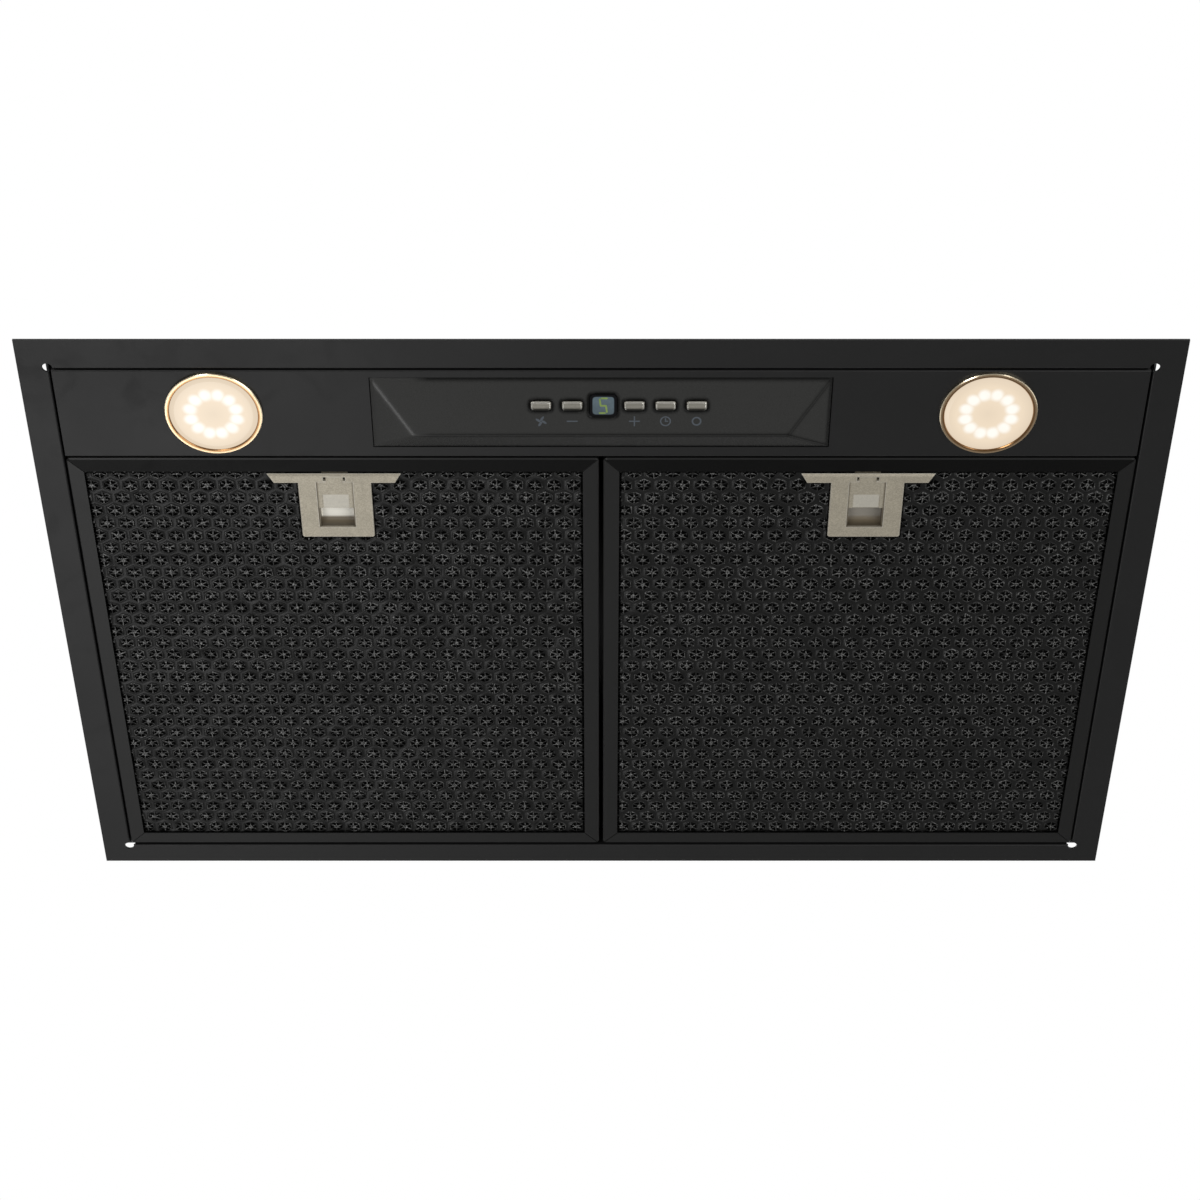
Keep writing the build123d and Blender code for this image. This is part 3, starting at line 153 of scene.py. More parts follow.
class HoodControlSettings(bpy.types.PropertyGroup):
    """Symbols, display digit and button rims on the control moulding."""

    symbol_size: length("Symbol Size", "Width of a printed symbol", 5.0)
    symbol_stroke: length("Symbol Stroke", "Line width of the printed symbols", 0.6)
    symbol_drop: length("Symbol Drop", "Distance from a button's middle to its symbol", 7.9)
    ink: length("Ink", "Thickness of the printed ink", 0.03)
    button_proud: length("Button Proud", "How far the buttons stand out of the face", 1.0)
    button_corner: length("Button Corner", "Radius of a button's corners", 1.1)
    rim_width: length("Rim Width", "Width of the raised rim on a button", 0.62)
    rim_height: length("Rim Height", "Height of the raised rim on a button", 0.28)
    digit_height: length("Digit Height", "Height of the display's digit", 8.2)
    digit_width: length("Digit Width", "Width of the display's digit", 4.2)
    digit_stroke: length("Digit Stroke", "Width of one segment", 0.85)
    digit_slant: angle("Digit Slant", "Lean of the digit", 7.0)


class HoodFinishSettings(bpy.types.PropertyGroup):
    """Colours of the finishes."""

    paint: colour("Paint", "Coat of the flange and the fascia", (0.007, 0.007, 0.0071))
    filter_paint: colour("Filter Paint", "Coat of the filter frames", (0.007, 0.007, 0.0068))
    mesh: colour("Mesh", "Coat of the mesh screens", (0.0065, 0.0065, 0.0063))
    moulding: colour("Moulding", "Control moulding", (0.0265, 0.0265, 0.0253))
    champagne: colour("Champagne", "Latch plates and sliders", (0.39, 0.352, 0.276))
    pad: colour("Pad", "Smooth pad of the latch sliders", (0.62, 0.60, 0.54))
    # Painted light and shade: one roof colour in a lit copy for the left pocket and a shaded copy for the right.
    roof: colour("Roof", "Roof of the left finger pocket, which takes the light",
                 (1.0, 0.97, 0.88))
    roof_shade: colour("Roof Shade", "Roof of the right finger pocket, in shade",
                       (0.27, 0.25, 0.215))
    # Painted shade: the dark brown put on the pocket walls and along the window's sides.
    shade_brown: colour("Wall", "Walls of the finger pockets", (0.125, 0.10, 0.065))
    chrome: colour("Chrome", "Dished faces of the buttons", (0.50, 0.475, 0.415))
    chrome_rim: colour("Chrome Rim", "Rims of the buttons", (0.78, 0.76, 0.70))
    ring: colour("Ring", "Rings round the lamps", (0.66, 0.47, 0.29))
    # Painted shade at the rings' inner edges and a painted highlight at their outer edges.
    ring_shade: colour("Ring Inner", "Inner edges of the rings", (0.27, 0.145, 0.062))
    ring_highlight: colour("Ring Outer", "Outer edges of the rings", (0.90, 0.80, 0.60))
    lens: colour("Lens", "Lit diffuser", (0.85, 0.705, 0.535))
    diode: colour("Diode", "Bright spots behind the diffuser", (1.0, 0.97, 0.9))
    symbol: colour("Symbol", "Printed symbols", (0.058, 0.070, 0.085))
    display: colour("Display", "Display pane", (0.094, 0.129, 0.151))
    digit: colour("Digit", "Lit digit", (0.32, 0.46, 0.10))
    zinc: colour("Zinc", "Galvanised casing", (0.52, 0.54, 0.55))
    diodes: IntProperty(name="Diodes", description="Diodes in each lamp", default=12, min=3, max=40)
    pad_width: length("Pad Width", "Width of the slider's smooth pad", 12.7)
    pad_length: length("Pad Length", "Length of the slider's smooth pad", 7.9)
    pocket_length: length("Pocket Length", "From the pad to the slider's rear end", 11.9)
    window_width: length("Window Width", "Width of the window in the latch plate", 17.2)
    front_rail: length("Front Rail", "Depth of a filter frame's front rail", 7.5)


class HoodStageSettings(bpy.types.PropertyGroup):
    """Camera, floor and lights."""

    lens: FloatProperty(name="Lens", description="Focal length on a 36 mm sensor", default=74.8,
                        subtype="DISTANCE_CAMERA")
    distance: length("Camera Distance", "From the camera to the point it looks at", 1208.0)
    below: angle("Below", "How far under the horizon the camera stands", 50.0)
    drop: length("Floor Drop", "From the flange down to the floor", 1850.0)
    floor: colour("Floor", "Floor", (0.80, 0.80, 0.79))
    ambient: FloatProperty(name="Ambient", description="Strength of the soft light all round",
                           default=0.3, min=0.0, max=2.0)
    key: power("Key", "Power of the lamp behind on the left", 2.1)
    fill: power("Fill", "Power of the wide lamp underneath", 17.5)
    front: power("Front", "Power of the lamp in front on the left", 8.5)
    side: power("Side", "Power of the small lamp on the left", 3.3)


# Modelling helpers

def select(every=True):
    """In edit mode, selects everything or nothing."""
    bpy.ops.mesh.select_all(action="SELECT" if every else "DESELECT")


def begin(name, add, **shape):
    """Adds one primitive with nothing else selected, names it and enters edit mode."""
    bpy.ops.object.select_all(action="DESELECT")
    add(location=ORIGIN, **shape)
    piece = bpy.context.object
    piece.name = piece.data.name = name
    bpy.ops.object.mode_set(mode="EDIT")
    select()
    return piece


def pick(piece, kind, test):
    """In edit mode, selects only the verts, edges or faces whose middle passes the test."""
    bpy.ops.mesh.select_mode(type={"verts": "VERT", "edges": "EDGE", "faces": "FACE"}[kind])
    select(False)
    shape = bmesh.from_edit_mesh(piece.data)
    for item in getattr(shape, kind):
        if kind == "faces":
            middle = item.calc_center_median()
        elif kind == "edges":
            middle = (item.verts[0].co + item.verts[1].co) / 2
        else:
            middle = item.co
        item.select_set(test(middle))
    shape.select_flush_mode()
    bmesh.update_edit_mesh(piece.data)


def scale(x, y, z=1.0, about=ORIGIN):
    """Resizes the selection about a point."""
    bpy.ops.transform.resize(value=(x, y, z), center_override=about)


def move(x, y, z=0.0):
    """Moves the selection."""
    bpy.ops.transform.translate(value=(x, y, z))


def turn(by, axis="Z"):
    """Turns the selection about the origin."""
    bpy.ops.transform.rotate(value=by, orient_axis=axis, center_override=ORIGIN)


def extrude(x=0.0, y=0.0, z=0.0):
    """Extrudes the selection and moves it."""
    bpy.ops.mesh.extrude_region_move(TRANSFORM_OT_translate={"value": (x, y, z)})


def thicken(height):
    """Draws the whole of a flat piece up from its plane."""
    bpy.ops.mesh.select_mode(type="FACE")
    select()
    extrude(z=height)


def shape_with(piece, kind, **settings):
    """Adds a modifier, sets it and applies it."""
    bpy.ops.object.modifier_add(type=kind)
    modifier = piece.modifiers[-1]
    for key, value in settings.items():
        setattr(modifier, key, value)
    bpy.ops.object.modifier_apply(modifier=modifier.name)


def settle(piece, place=ORIGIN, lean=0.0, smooth=math.radians(40.0)):
    """Welds the piece, leaves edit mode, sets the piece in place and shades it."""
    select()
    bpy.ops.mesh.remove_doubles(threshold=WELD / 10)
    bpy.ops.object.mode_set(mode="OBJECT")
    piece.rotation_euler = (lean, 0.0, 0.0)
    piece.location = place
    bpy.ops.object.transform_apply(location=True, rotation=True, scale=True)
    bpy.ops.object.shade_smooth_by_angle(angle=smooth)


def finish_piece(piece, body, slot, material, *stood_for):
    """Gives the piece its body and its material; the slot is not used."""
    piece.data.materials.clear()
    piece.data.materials.append(material)
    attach(piece, body)
    if stood_for:
        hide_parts(*stood_for)


class ControlFace:
    """The sloping face of the control moulding, found from a button and its travel."""

    def __init__(self, proud):
        joint = next(j for j in frame["joints"] if j["name"] == "button_fan_press")
        self.inward = Vector(joint["axis"]).normalized()
        self.lean = math.pi - math.atan2(self.inward.y, self.inward.z)
        self.down = Vector((0.0, self.inward.z, -self.inward.y))
        self.proud = proud

    def ends(self, node):
        """Bounds of the node's outer end across and down the face, and its height."""
        points = [v.co for v in frame["nodes"][node].data.vertices]
        low = min(p.dot(self.inward) for p in points)
        near = [p for p in points if p.dot(self.inward) < low + FACE_DEPTH]
        across, along = [p.x for p in near], [p.dot(self.down) for p in near]
        return min(across), max(across), min(along), max(along), low

    def outer(self, node):
        """Middle of the node's end that looks out of the face."""
        left, right, front, rear, low = self.ends(node)
        middle = self.down * (front + rear) / 2 + self.inward * low
        return Vector(((left + right) / 2, middle.y, middle.z))

    def spread(self, node):
        """Width and depth of the node's end that looks out of the face."""
        left, right, front, rear, _ = self.ends(node)
        return right - left, rear - front

    def below(self, node, drop):
        """Point on the face under a button, where its symbol is printed."""
        return self.outer(node) + self.inward * self.proud + self.down * drop


# Shader helpers

FLOAT, VECTOR, COLOUR = "NodeSocketFloat", "NodeSocketVector", "NodeSocketColor"


class Nodes:
    """A shader tree, with short ways to add to it; place holds what its patterns read."""

    place = None

    def __init__(self, tree):
        self.tree = tree

    def fill(self, inputs, values):
        """Links or sets the inputs that are named."""
        for key, value in values.items():
            if isinstance(value, bpy.types.NodeSocket):
                self.tree.links.new(value, inputs[key])
            else:
                inputs[key].default_value = value

    def put(self, kind, values=None, **settings):
        """Adds a node, sets its properties, fills its inputs and returns its outputs."""
        node = self.tree.nodes.new("ShaderNode" + kind)
        for key, value in settings.items():
            setattr(node, key, value)
        self.fill(node.inputs, values or {})
        return node.outputs

    def noise(self, fineness, detail=2.0, distortion=0.0, place=None):
        """Noise, with more features to the metre as its fineness grows."""
        return self.put("TexNoise", {"Vector": place or self.place, "Scale": fineness,
                                     "Detail": detail, "Distortion": distortion})["Fac"]

    def ramp(self, value, low, high, start=0.0, end=1.0, **settings):
        """Maps a value from one range to another, held at the ends."""
        return self.put("MapRange", {"Value": value, "From Min": low, "From Max": high,
                                     "To Min": start, "To Max": end}, **settings)["Result"]

    def vary(self, value, start, end):
        """Maps the usual range of a noise to another one."""
        return self.ramp(value, *NOISE_RANGE, start, end)

    def fade(self, mask, start, end):
        """Goes from one number to another as a mask goes from nought to one."""
        return self.ramp(mask, 0.0, 1.0, start, end)

    def maths(self, operation, first, second=0.0):
        """One sum on one or two values."""
        return self.put("Math", {0: first, 1: second}, operation=operation)[0]

    def add(self, first, *others):
        """Adds up the values."""
        for other in others:
            first = self.maths("ADD", first, other)
        return first

    def mul(self, first, *others):
        """Multiplies the values."""
        for other in others:
            first = self.maths("MULTIPLY", first, other)
        return first

    def less(self, first, second):
        """The first value less the second."""
        return self.maths("SUBTRACT", first, second)

    def unsigned(self, value):
        """The value without its sign."""
        return self.maths("ABSOLUTE", value)

    def reach(self, x, y):
        """Distance from the middle."""
        return self.maths("SQRT", self.add(self.mul(x, x), self.mul(y, y)))

    def vectors(self, operation, first, second):
        """One sum on two vectors."""
        return self.put("VectorMath", {0: first, 1: second}, operation=operation)

    def split(self, vector):
        """X, Y and Z of a vector."""
        return self.put("SeparateXYZ", {"Vector": vector})

    def axes(self, origin=None):
        """X, Y and Z of the place, as seen from an origin where one is given."""
        if origin is None:
            return self.split(self.place)
        return self.split(self.vectors("SUBTRACT", self.place, origin)["Vector"])

    def blend(self, factor, first, second):
        """Mixes two colours."""
        return self.put("Mix", {0: factor, 6: first, 7: second}, data_type="RGBA")[2]

    def tint(self, base, factor):
        """Multiplies a colour by a value."""
        return self.put("VectorMath", {0: base, "Scale": factor}, operation="SCALE")["Vector"]


class Group(Nodes):
    """A shader group in the making, with what it is given and what it puts out."""

    def __init__(self, name, inputs, outputs):
        super().__init__(bpy.data.node_groups.new(name, "ShaderNodeTree"))
        sockets = self.tree.interface
        for label, kind, default in (("Vector", VECTOR, ORIGIN), *inputs):
            made = sockets.new_socket(name=label, in_out="INPUT", socket_type=kind)
            made.default_value = default
        for label, kind in outputs:
            sockets.new_socket(name=label, in_out="OUTPUT", socket_type=kind)
        self.given = self.tree.nodes.new("NodeGroupInput").outputs
        self.out = self.tree.nodes.new("NodeGroupOutput").inputs
        self.place = self.given["Vector"]

    def close(self, **values):
        """Links what the group puts out."""
        self.fill(self.out, values)
        return self.tree


class Surface(Group):
    """A group for a surface, which puts out its colour, roughness and relief."""

    def __init__(self, name, spread, roughness, fine, inputs=(), outputs=()):
        shared = (("Colour", COLOUR, (0.5, 0.5, 0.5, 1.0)), ("Fine", FLOAT, fine),
                  ("Spread", FLOAT, spread), ("Roughness", FLOAT, roughness))
        super().__init__(name, (*shared, *inputs), (("Colour", COLOUR), ("Roughness", FLOAT),
                                                    ("Height", FLOAT), *outputs))
        self.fine = self.given["Fine"]

    def cells(self):
        """Three values that jump from one cell to the next."""
        cells = self.put("TexVoronoi", {"Vector": self.place, "Scale": self.fine})
        return self.put("SeparateColor", {"Color": cells["Color"]})

    def tone(self, value, low=0.0, high=1.0, pale=True):
        """From dark to pale, or only to plain, by the group's spread."""
        spread = self.given["Spread"]
        end = self.add(1.0, spread) if pale else 1.0
        return self.ramp(value, low, high, self.less(1.0, spread), end)

    def gloss(self, *changes):
        """The group's roughness with some changes added."""
        return self.add(self.given["Roughness"], *changes)

    def coat(self, tone, gloss, height, **others):
        """Links the colour, toned, with the rest of what the group puts out."""
        return self.close(Colour=self.tint(self.given["Colour"], tone), Roughness=gloss,
                          Height=height, **others)


def satin_coat():
    """Painted sheet and moulded plastic: fine grain, uneven gloss, faint handling marks."""
    made = Surface("Satin Coat", 0.12, 0.4, 2600.0)
    fine = made.noise(made.fine, 3.0)
    broad = made.noise(16.0)
    marks = made.ramp(made.noise(42.0, 4.0, 1.2), 0.56, 0.74)
    gloss = made.gloss(made.vary(broad, -0.03, 0.03), made.vary(fine, -0.035, 0.035),
                       made.mul(marks, 0.05))
    return made.coat(made.tone(fine, *NOISE_RANGE), gloss, fine)


def zinc_spangle():
    """Galvanised sheet: crystals of differing tone, with fine streaks and dull patches."""
    made = Surface("Zinc Spangle", 0.2, 0.38, 85.0)
    crystal = made.cells()
    streak = made.noise(900.0, 3.0)
    dull = made.ramp(made.noise(11.0, 3.0, 0.6), 0.45, 0.7)
    tone = made.mul(made.tone(crystal[0], pale=False), made.vary(streak, 0.94, 1.04),
                    made.fade(dull, 1.0, 0.86))
    gloss = made.gloss(made.fade(crystal[1], -0.08, 0.1), made.mul(dull, 0.08))
    return made.coat(tone, gloss, made.add(crystal[2], streak))


def brushed_metal():
    """Bright metal: streaks along X with a finer speckle across them."""
    made = Surface("Brushed Metal", 0.1, 0.25, 1500.0)
    drawn = made.put("Mapping", {"Vector": made.place, "Scale": (0.06, 1.0, 1.0)})["Vector"]
    streak = made.noise(made.fine, 4.0, place=drawn)
    speck = made.noise(made.fine)
    smear = made.ramp(made.noise(60.0, 3.0, 0.8), 0.5, 0.75)
    both = made.add(made.mul(streak, 0.6), made.mul(speck, 0.4))
    gloss = made.gloss(made.ramp(both, 0.35, 0.65, -0.05, 0.06), made.mul(smear, 0.07))
    return made.coat(made.tone(both, 0.35, 0.65), gloss, both)


def metallic_speckle():
    """Metallic lacquer: bright and dark flakes in an even coat."""
    made = Surface("Metallic Speckle", 0.14, 0.42, 2100.0)
    flake = made.cells()
    broad = made.noise(130.0, 3.0)
    tone = made.mul(made.tone(flake[0]), made.vary(broad, 0.95, 1.05))
    return made.coat(tone, made.gloss(made.fade(flake[1], -0.08, 0.08)), made.add(flake[2], broad))


def woven_bands():
    """Braided sleeving and laminations: fine bands that cross."""
    made = Surface("Woven Bands", 0.4, 0.5, 420.0)
    waves = []
    for lean in (WEAVE, -WEAVE):
        turned = made.put("Mapping", {"Vector": made.place, "Rotation": (lean, lean, 0.0)})
        waves.append(made.put("TexWave", {"Vector": turned["Vector"], "Scale": made.fine,
                                          "Distortion": 0.4}, bands_direction="Z")["Fac"])
    woven = made.maths("MAXIMUM", *waves)
    return made.coat(made.tone(woven, pale=False), made.gloss(made.fade(woven, 0.1, -0.08)), woven)


def board_tracks():
    """Circuit board: lacquer over thin tracks and pads."""
    made = Surface("Board Tracks", 0.5, 0.35, 130.0)
    tracks = made.put("TexBrick", {"Vector": made.place, "Scale": made.fine, "Mortar Size": 0.05,
                                   "Mortar Smooth": 0.1})["Fac"]
    grain = made.noise(1800.0)
    tone = made.add(made.mul(tracks, made.given["Spread"]), 0.85)
    tone = made.mul(tone, made.vary(grain, 0.9, 1.08))
    return made.coat(tone, made.gloss(made.vary(grain, -0.04, 0.06)), tracks)


def embossed_coat():
    """Pressed sheet: smooth web, crumpled crowns told apart by height with painted glints on them, and dark holes.
    """
    made = Surface("Embossed Coat", 0.12, 0.36, 1300.0,
                   (("Sheet", FLOAT, 0.0), ("Crown", FLOAT, 0.0005), ("Hole", FLOAT, 0.0)),
                   (("Coat", FLOAT),))
    rise = made.less(made.given["Sheet"], made.axes()["Z"])
    crown = made.ramp(made.maths("DIVIDE", rise, made.given["Crown"]), 0.6, 1.0)
    pit = made.given["Hole"]
    fine = made.noise(made.fine)
    broad = made.noise(19.0)
    # Painted highlight: the glints on the crowns raise the colour up to eighteen times and add coat.
    painted_glint = made.mul(crown, made.ramp(fine, 0.47, 0.58))
    tone = made.mul(made.tone(fine, *NOISE_RANGE), made.fade(painted_glint, 1.0, 18.0),
                    made.fade(pit, 1.0, 0.45))
    gloss = made.less(made.gloss(made.vary(broad, -0.03, 0.03)), made.mul(crown, 0.1))
    relief = made.mul(fine, made.fade(crown, 0.12, 1.0))
    return made.coat(tone, gloss, relief, Coat=made.add(made.fade(pit, 0.42, 0.2), painted_glint))


def panel_mask():
    """One inside a square of half width one on X and Y, nought outside it."""
    made = Group("Panel Mask", (("Inner", FLOAT, 0.96),), (("Mask", FLOAT),))
    x, y, _ = made.axes()
    far = made.maths("MAXIMUM", made.unsigned(x), made.unsigned(y))
    return made.close(Mask=made.ramp(far, made.given["Inner"], 1.0, 1.0, 0.0))


def diode_ring():
    """Lit diffuser: bright spots on a ring, a calmer middle and a darker edge."""
    made = Group("Diode Ring", (("Count", FLOAT, 12.0), ("Lens", COLOUR, (1.0, 0.8, 0.6, 1.0)),
                                ("Diode", COLOUR, (1.0, 1.0, 0.9, 1.0))), (("Glow", COLOUR),))
    x, y, _ = made.axes()
    radius = made.reach(x, y)
    turns = made.mul(made.maths("ARCTAN2", y, x), made.given["Count"])
    share = made.maths("FRACT", made.maths("DIVIDE", turns, 2 * math.pi))
    step = made.maths("DIVIDE", 2 * math.pi, made.given["Count"])
    aside = made.mul(made.less(share, 0.5), step, radius)
    off = made.reach(made.less(radius, 0.53), aside)
    beads = made.ramp(off, 0.07, 0.21, 1.0, 0.0, interpolation_type="SMOOTHSTEP")
    spots = made.mul(beads, made.vary(made.noise(3.0), 0.9, 1.15))
    shade = made.mul(made.ramp(radius, 0.72, 1.0, 1.0, 0.86),
                     made.ramp(radius, 0.0, 0.34, 0.93, 1.0))
    lens = made.tint(made.given["Lens"], shade)
    return made.close(Glow=made.blend(spots, lens, made.given["Diode"]))


def pane_gradient():
    """Display pane: dark rounded border and a tone that pales towards one end."""
    made = Group("Pane Gradient", (("Colour", COLOUR, (0.1, 0.1, 0.1, 1.0)),),
                 (("Colour", COLOUR), ("Roughness", FLOAT), ("Coat", FLOAT)))
    x, y, _ = made.axes()
    square = made.add(*(made.maths("POWER", made.unsigned(way), 7.0) for way in (x, y)))
    border = made.ramp(square, 0.16, 0.26)
    haze = made.vary(made.noise(2.2, 3.0), 0.9, 1.1)
    face = made.tint(made.given["Colour"], made.mul(made.ramp(y, -1.0, 1.0, 0.8, 1.2), haze))
    return made.close(Colour=made.blend(border, face, (0.006, 0.006, 0.007, 1.0)),
                      Roughness=made.fade(border, 0.14, 0.4), Coat=made.fade(border, 0.68, 0.0))


class Coat(Nodes):
    """A material in the making, with its shader's inputs."""

    def __init__(self, name, **constants):
        self.material = bpy.data.materials.new(name)
        self.material.use_nodes = True
        super().__init__(self.material.node_tree)
        self.shader = self.tree.nodes["Principled BSDF"].inputs
        self.feed(**constants)

    @cached_property
    def place(self):
        """Object coordinates, added when a pattern first reads them."""
        return self.put("TexCoord")["Object"]

    def feed(self, **values):
        """Links or sets inputs of the shader, whose names have spaces for the underscores."""
        self.fill(self.shader, {key.replace("_", " "): value for key, value in values.items()})

    def fed(self, key):
        """What feeds one of the shader's inputs so far."""
        return self.shader[key].links[0].from_socket

    def darken(self, factor):
        """Multiplies the colour so far by a value."""
        self.feed(Base_Color=self.tint(self.fed("Base Color"), factor))

    def local(self, centre, unit, lean=0.0):
        """Object coordinates from a centre, leaning about X and counted in a unit for each axis."""
        return self.put("Mapping", {"Vector": self.place, "Location": centre, "Scale": unit,
                                    "Rotation": (lean, 0.0, 0.0)}, vector_type="TEXTURE")["Vector"]

    def bent(self, radius):
        """The normal rounded over edges, the plain normal, and how far they differ."""
        rolled = self.put("Bevel", {"Radius": radius}, samples=8)["Normal"]
        flat = self.put("NewGeometry")["Normal"]
        return rolled, flat, self.vectors("DISTANCE", rolled, flat)["Value"]


class Finishes:
    """Makes each shader group once and each material from them."""

    def __init__(self, settings):
        self.settings = settings
        self.groups = {made.name: made for made in
                       (satin_coat(), zinc_spangle(), brushed_metal(), metallic_speckle(),
                        woven_bands(), board_tracks(), embossed_coat(), panel_mask(), diode_ring(),
                        pane_gradient())}

    def surface(self, name, effect, base, roughness, bump=0.2, depth=0.00004, inputs=None,
                **constants):
        """A coat whose colour, roughness and relief come from one of the surface groups."""
        coat = Coat(name, **constants)
        made = coat.put("Group", {"Vector": coat.place, "Colour": (*base, 1.0),
                                  "Roughness": roughness, **(inputs or {})},
                        node_tree=self.groups[effect])
        relief = coat.put("Bump", {"Strength": bump, "Distance": depth,
                                   "Height": made["Height"]})["Normal"]
        coat.feed(Base_Color=made["Colour"], Roughness=made["Roughness"], Normal=relief)
        if "Coat" in made:
            coat.feed(Coat_Weight=made["Coat"], Coat_Normal=relief)
        coat.effect, coat.relief = made["Colour"].node.inputs, relief.node.inputs
        return coat

    def panel(self, coat, centre, half):
        """A mask that is one inside a rectangle given by its middle and half sizes."""
        return coat.put("Group", {"Vector": coat.local(centre, (*half, 1.0)),
                                  "Inner": 1.0 - 2 * BLUR / min(half)},
                        node_tree=self.groups["Panel Mask"])["Mask"]

    def slider(self, side, painted_roof_tone):
        """The latch slider: champagne coat and paler pad, with painted light on the left pocket's roof, painted
        shade on the right one's, and painted shade on the pocket walls and along the window's sides.
        """
        s = self.settings
        low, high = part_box(f"latch_slider_{side}")
        coat = self.surface(f"Slider Coat {side}", "Metallic Speckle", s.champagne, 0.42, 0.1,
                            Metallic=0.35)
        x, y, z = coat.axes()
        middle = (low.x + high.x) / 2
        edge = high.y - s.pocket_length
        skin = (low.z + BLUR, low.z + 2 * BLUR)
        half = s.window_width / 2
        pad = self.panel(coat, (middle, edge - s.pad_length / 2, 0.0),
                         (s.pad_width / 2, s.pad_length / 2))
        pocket = self.panel(coat, (middle, edge + s.pocket_length / 2, 0.0),
                            (s.pad_width, s.pocket_length / 2))
        # Painted shade: the pocket's walls and floor take the dark brown, toned by height.
        shaded_pocket = coat.mul(pocket, coat.ramp(z, *skin))
        # Painted highlight on the left pocket's roof and painted shade on the right one's, fading out towards the
        # slider's rear end.
        roof = coat.mul(pocket, coat.ramp(z, *(high.z - below for below in ROOF_BAND)),
                        coat.ramp(y, *(high.y - before for before in ROOF_FADE), 1.0, 0.0))
        # Painted shade lines along the sides of the window.
        off = coat.unsigned(coat.less(x, middle))
        shade_lines = coat.mul(coat.ramp(off, half - 2 * EDGE, half - EDGE),
                           coat.ramp(z, *skin, 1.0, 0.0), coat.ramp(y, edge - BLUR, edge, 0.5, 0.8))
        shade_brown = coat.tint(s.shade_brown, coat.ramp(z, low.z, high.z, 0.55, 1.5))
        mixed = coat.blend(coat.mul(pad, 0.55), coat.fed("Base Color"), (*s.pad, 1.0))
        for mask, tone in ((shaded_pocket, shade_brown), (roof, (*painted_roof_tone, 1.0)), (shade_lines, (*s.shade_brown, 1.0))):
            mixed = coat.blend(mask, mixed, tone)
        coat.feed(Base_Color=mixed, Metallic=coat.fade(shaded_pocket, 0.35, 0.0))
        return coat

    def screen_coat(self, side, screen):
        """The pressed mesh, with painted shade in a band beside the rails and round the latch plate."""
        low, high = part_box(f"filter_front_mesh_{side}")
        plate_low, plate_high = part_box(f"latch_plate_{side}")
        coat = self.surface(f"Screen Coat {side}", "Embossed Coat", self.settings.mesh, 0.36, 0.6,
                            0.0003, {"Sheet": low.z, "Crown": screen.crown},
                            Specular_IOR_Level=0.02, Coat_Roughness=0.33)
        coat.fill(coat.effect, {"Hole": coat.put("Attribute", attribute_name=HOLE)["Fac"]})
        inset = screen.lap + screen.gap
        lit = self.panel(coat, (low + high) / 2,
                         ((high - low) / 2 - Vector((inset, inset, 0.0))).xy)
        body = (plate_low + plate_high) / 2
        bar = Vector((body.x, plate_low.y + screen.latch_bar / 2, 0.0))
        for centre, width, depth in ((bar, plate_high.x - plate_low.x, screen.latch_bar),
                                     (body, screen.latch_body, plate_high.y - plate_low.y)):
            shade = self.panel(coat, centre, (width / 2 + screen.gap, depth / 2 + screen.gap))
            lit = coat.mul(lit, coat.less(1.0, shade))
        # Painted shade: colour and coat fall to six hundredths in the band.
        lit = coat.fade(lit, 0.06, 1.0)
        coat.darken(lit)
        coat.feed(Coat_Weight=coat.mul(coat.fed("Coat Weight"), lit))
        return coat

    def lamp_ring(self, side, inner):
        """A lamp ring: gold, with painted shade in brown at its inner edge and a painted highlight at its outer
        edge.
        """
        s = self.settings
        low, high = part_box(f"lamp_bezel_{side}")
        coat = self.surface(f"Lamp Ring {side}", "Brushed Metal", s.ring, 0.2, 0.03,
                            inputs={"Spread": 0.03}, Metallic=1.0)
        x, y, _ = coat.axes((low + high) / 2)
        across = coat.ramp(coat.reach(x, y), inner, (high.x - low.x) / 2)
        mixed = coat.blend(coat.ramp(across, 0.15, 0.55), (*s.ring_shade, 1.0),
                           coat.fed("Base Color"))
        mixed = coat.blend(coat.ramp(across, 0.7, 0.95), mixed, (*s.ring_highlight, 1.0))
        coat.feed(Base_Color=mixed)
        return coat

    def frame_coat(self, side):
        """The filter frames' coat, with painted shade on the front rail between its mitres: darker, and without
        coat.
        """
        s = self.settings
        low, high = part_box(f"filter_frame_{side}")
        coat = self.surface(f"Filter Frame Coat {side}", "Satin Coat", s.filter_paint, 0.4, 0.12,
                            Specular_IOR_Level=0.09, Coat_Roughness=0.4)
        x, y, _ = coat.axes(((low.x + high.x) / 2, low.y, 0.0))
        half = (high.x - low.x) / 2
        # Painted shade: the front rail between its bevel and its inner edge.
        rail = coat.mul(coat.ramp(y, RAIL_BEVEL - BLUR, RAIL_BEVEL),
                        coat.ramp(y, s.front_rail, s.front_rail + BLUR, 1.0, 0.0),
                        coat.ramp(coat.add(coat.unsigned(x), y), half - BLUR, half, 1.0, 0.0))
        coat.darken(coat.fade(rail, 1.0, 0.45))
        coat.feed(Coat_Weight=coat.fade(rail, 0.38, 0.0))
        return coat

    def lit_lens(self, side):
        """A glowing diffuser whose pattern is centred on its lamp; returns its radius too."""
        s = self.settings
        low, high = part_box(f"lamp_lens_{side}")
        radius = (high.x - low.x) / 2
        coat = Coat(f"Lit Lens {side}", Base_Color=(0.02, 0.018, 0.015, 1.0), Roughness=0.3,
                    Emission_Strength=1.0)
        place = coat.local((low + high) / 2, (radius, radius, radius))
        glow = coat.put("Group", {"Vector": place, "Count": s.diodes, "Lens": (*s.lens, 1.0),
                                  "Diode": (*s.diode, 1.0)}, node_tree=self.groups["Diode Ring"])
        coat.feed(Emission_Color=glow["Glow"])
        return coat, radius

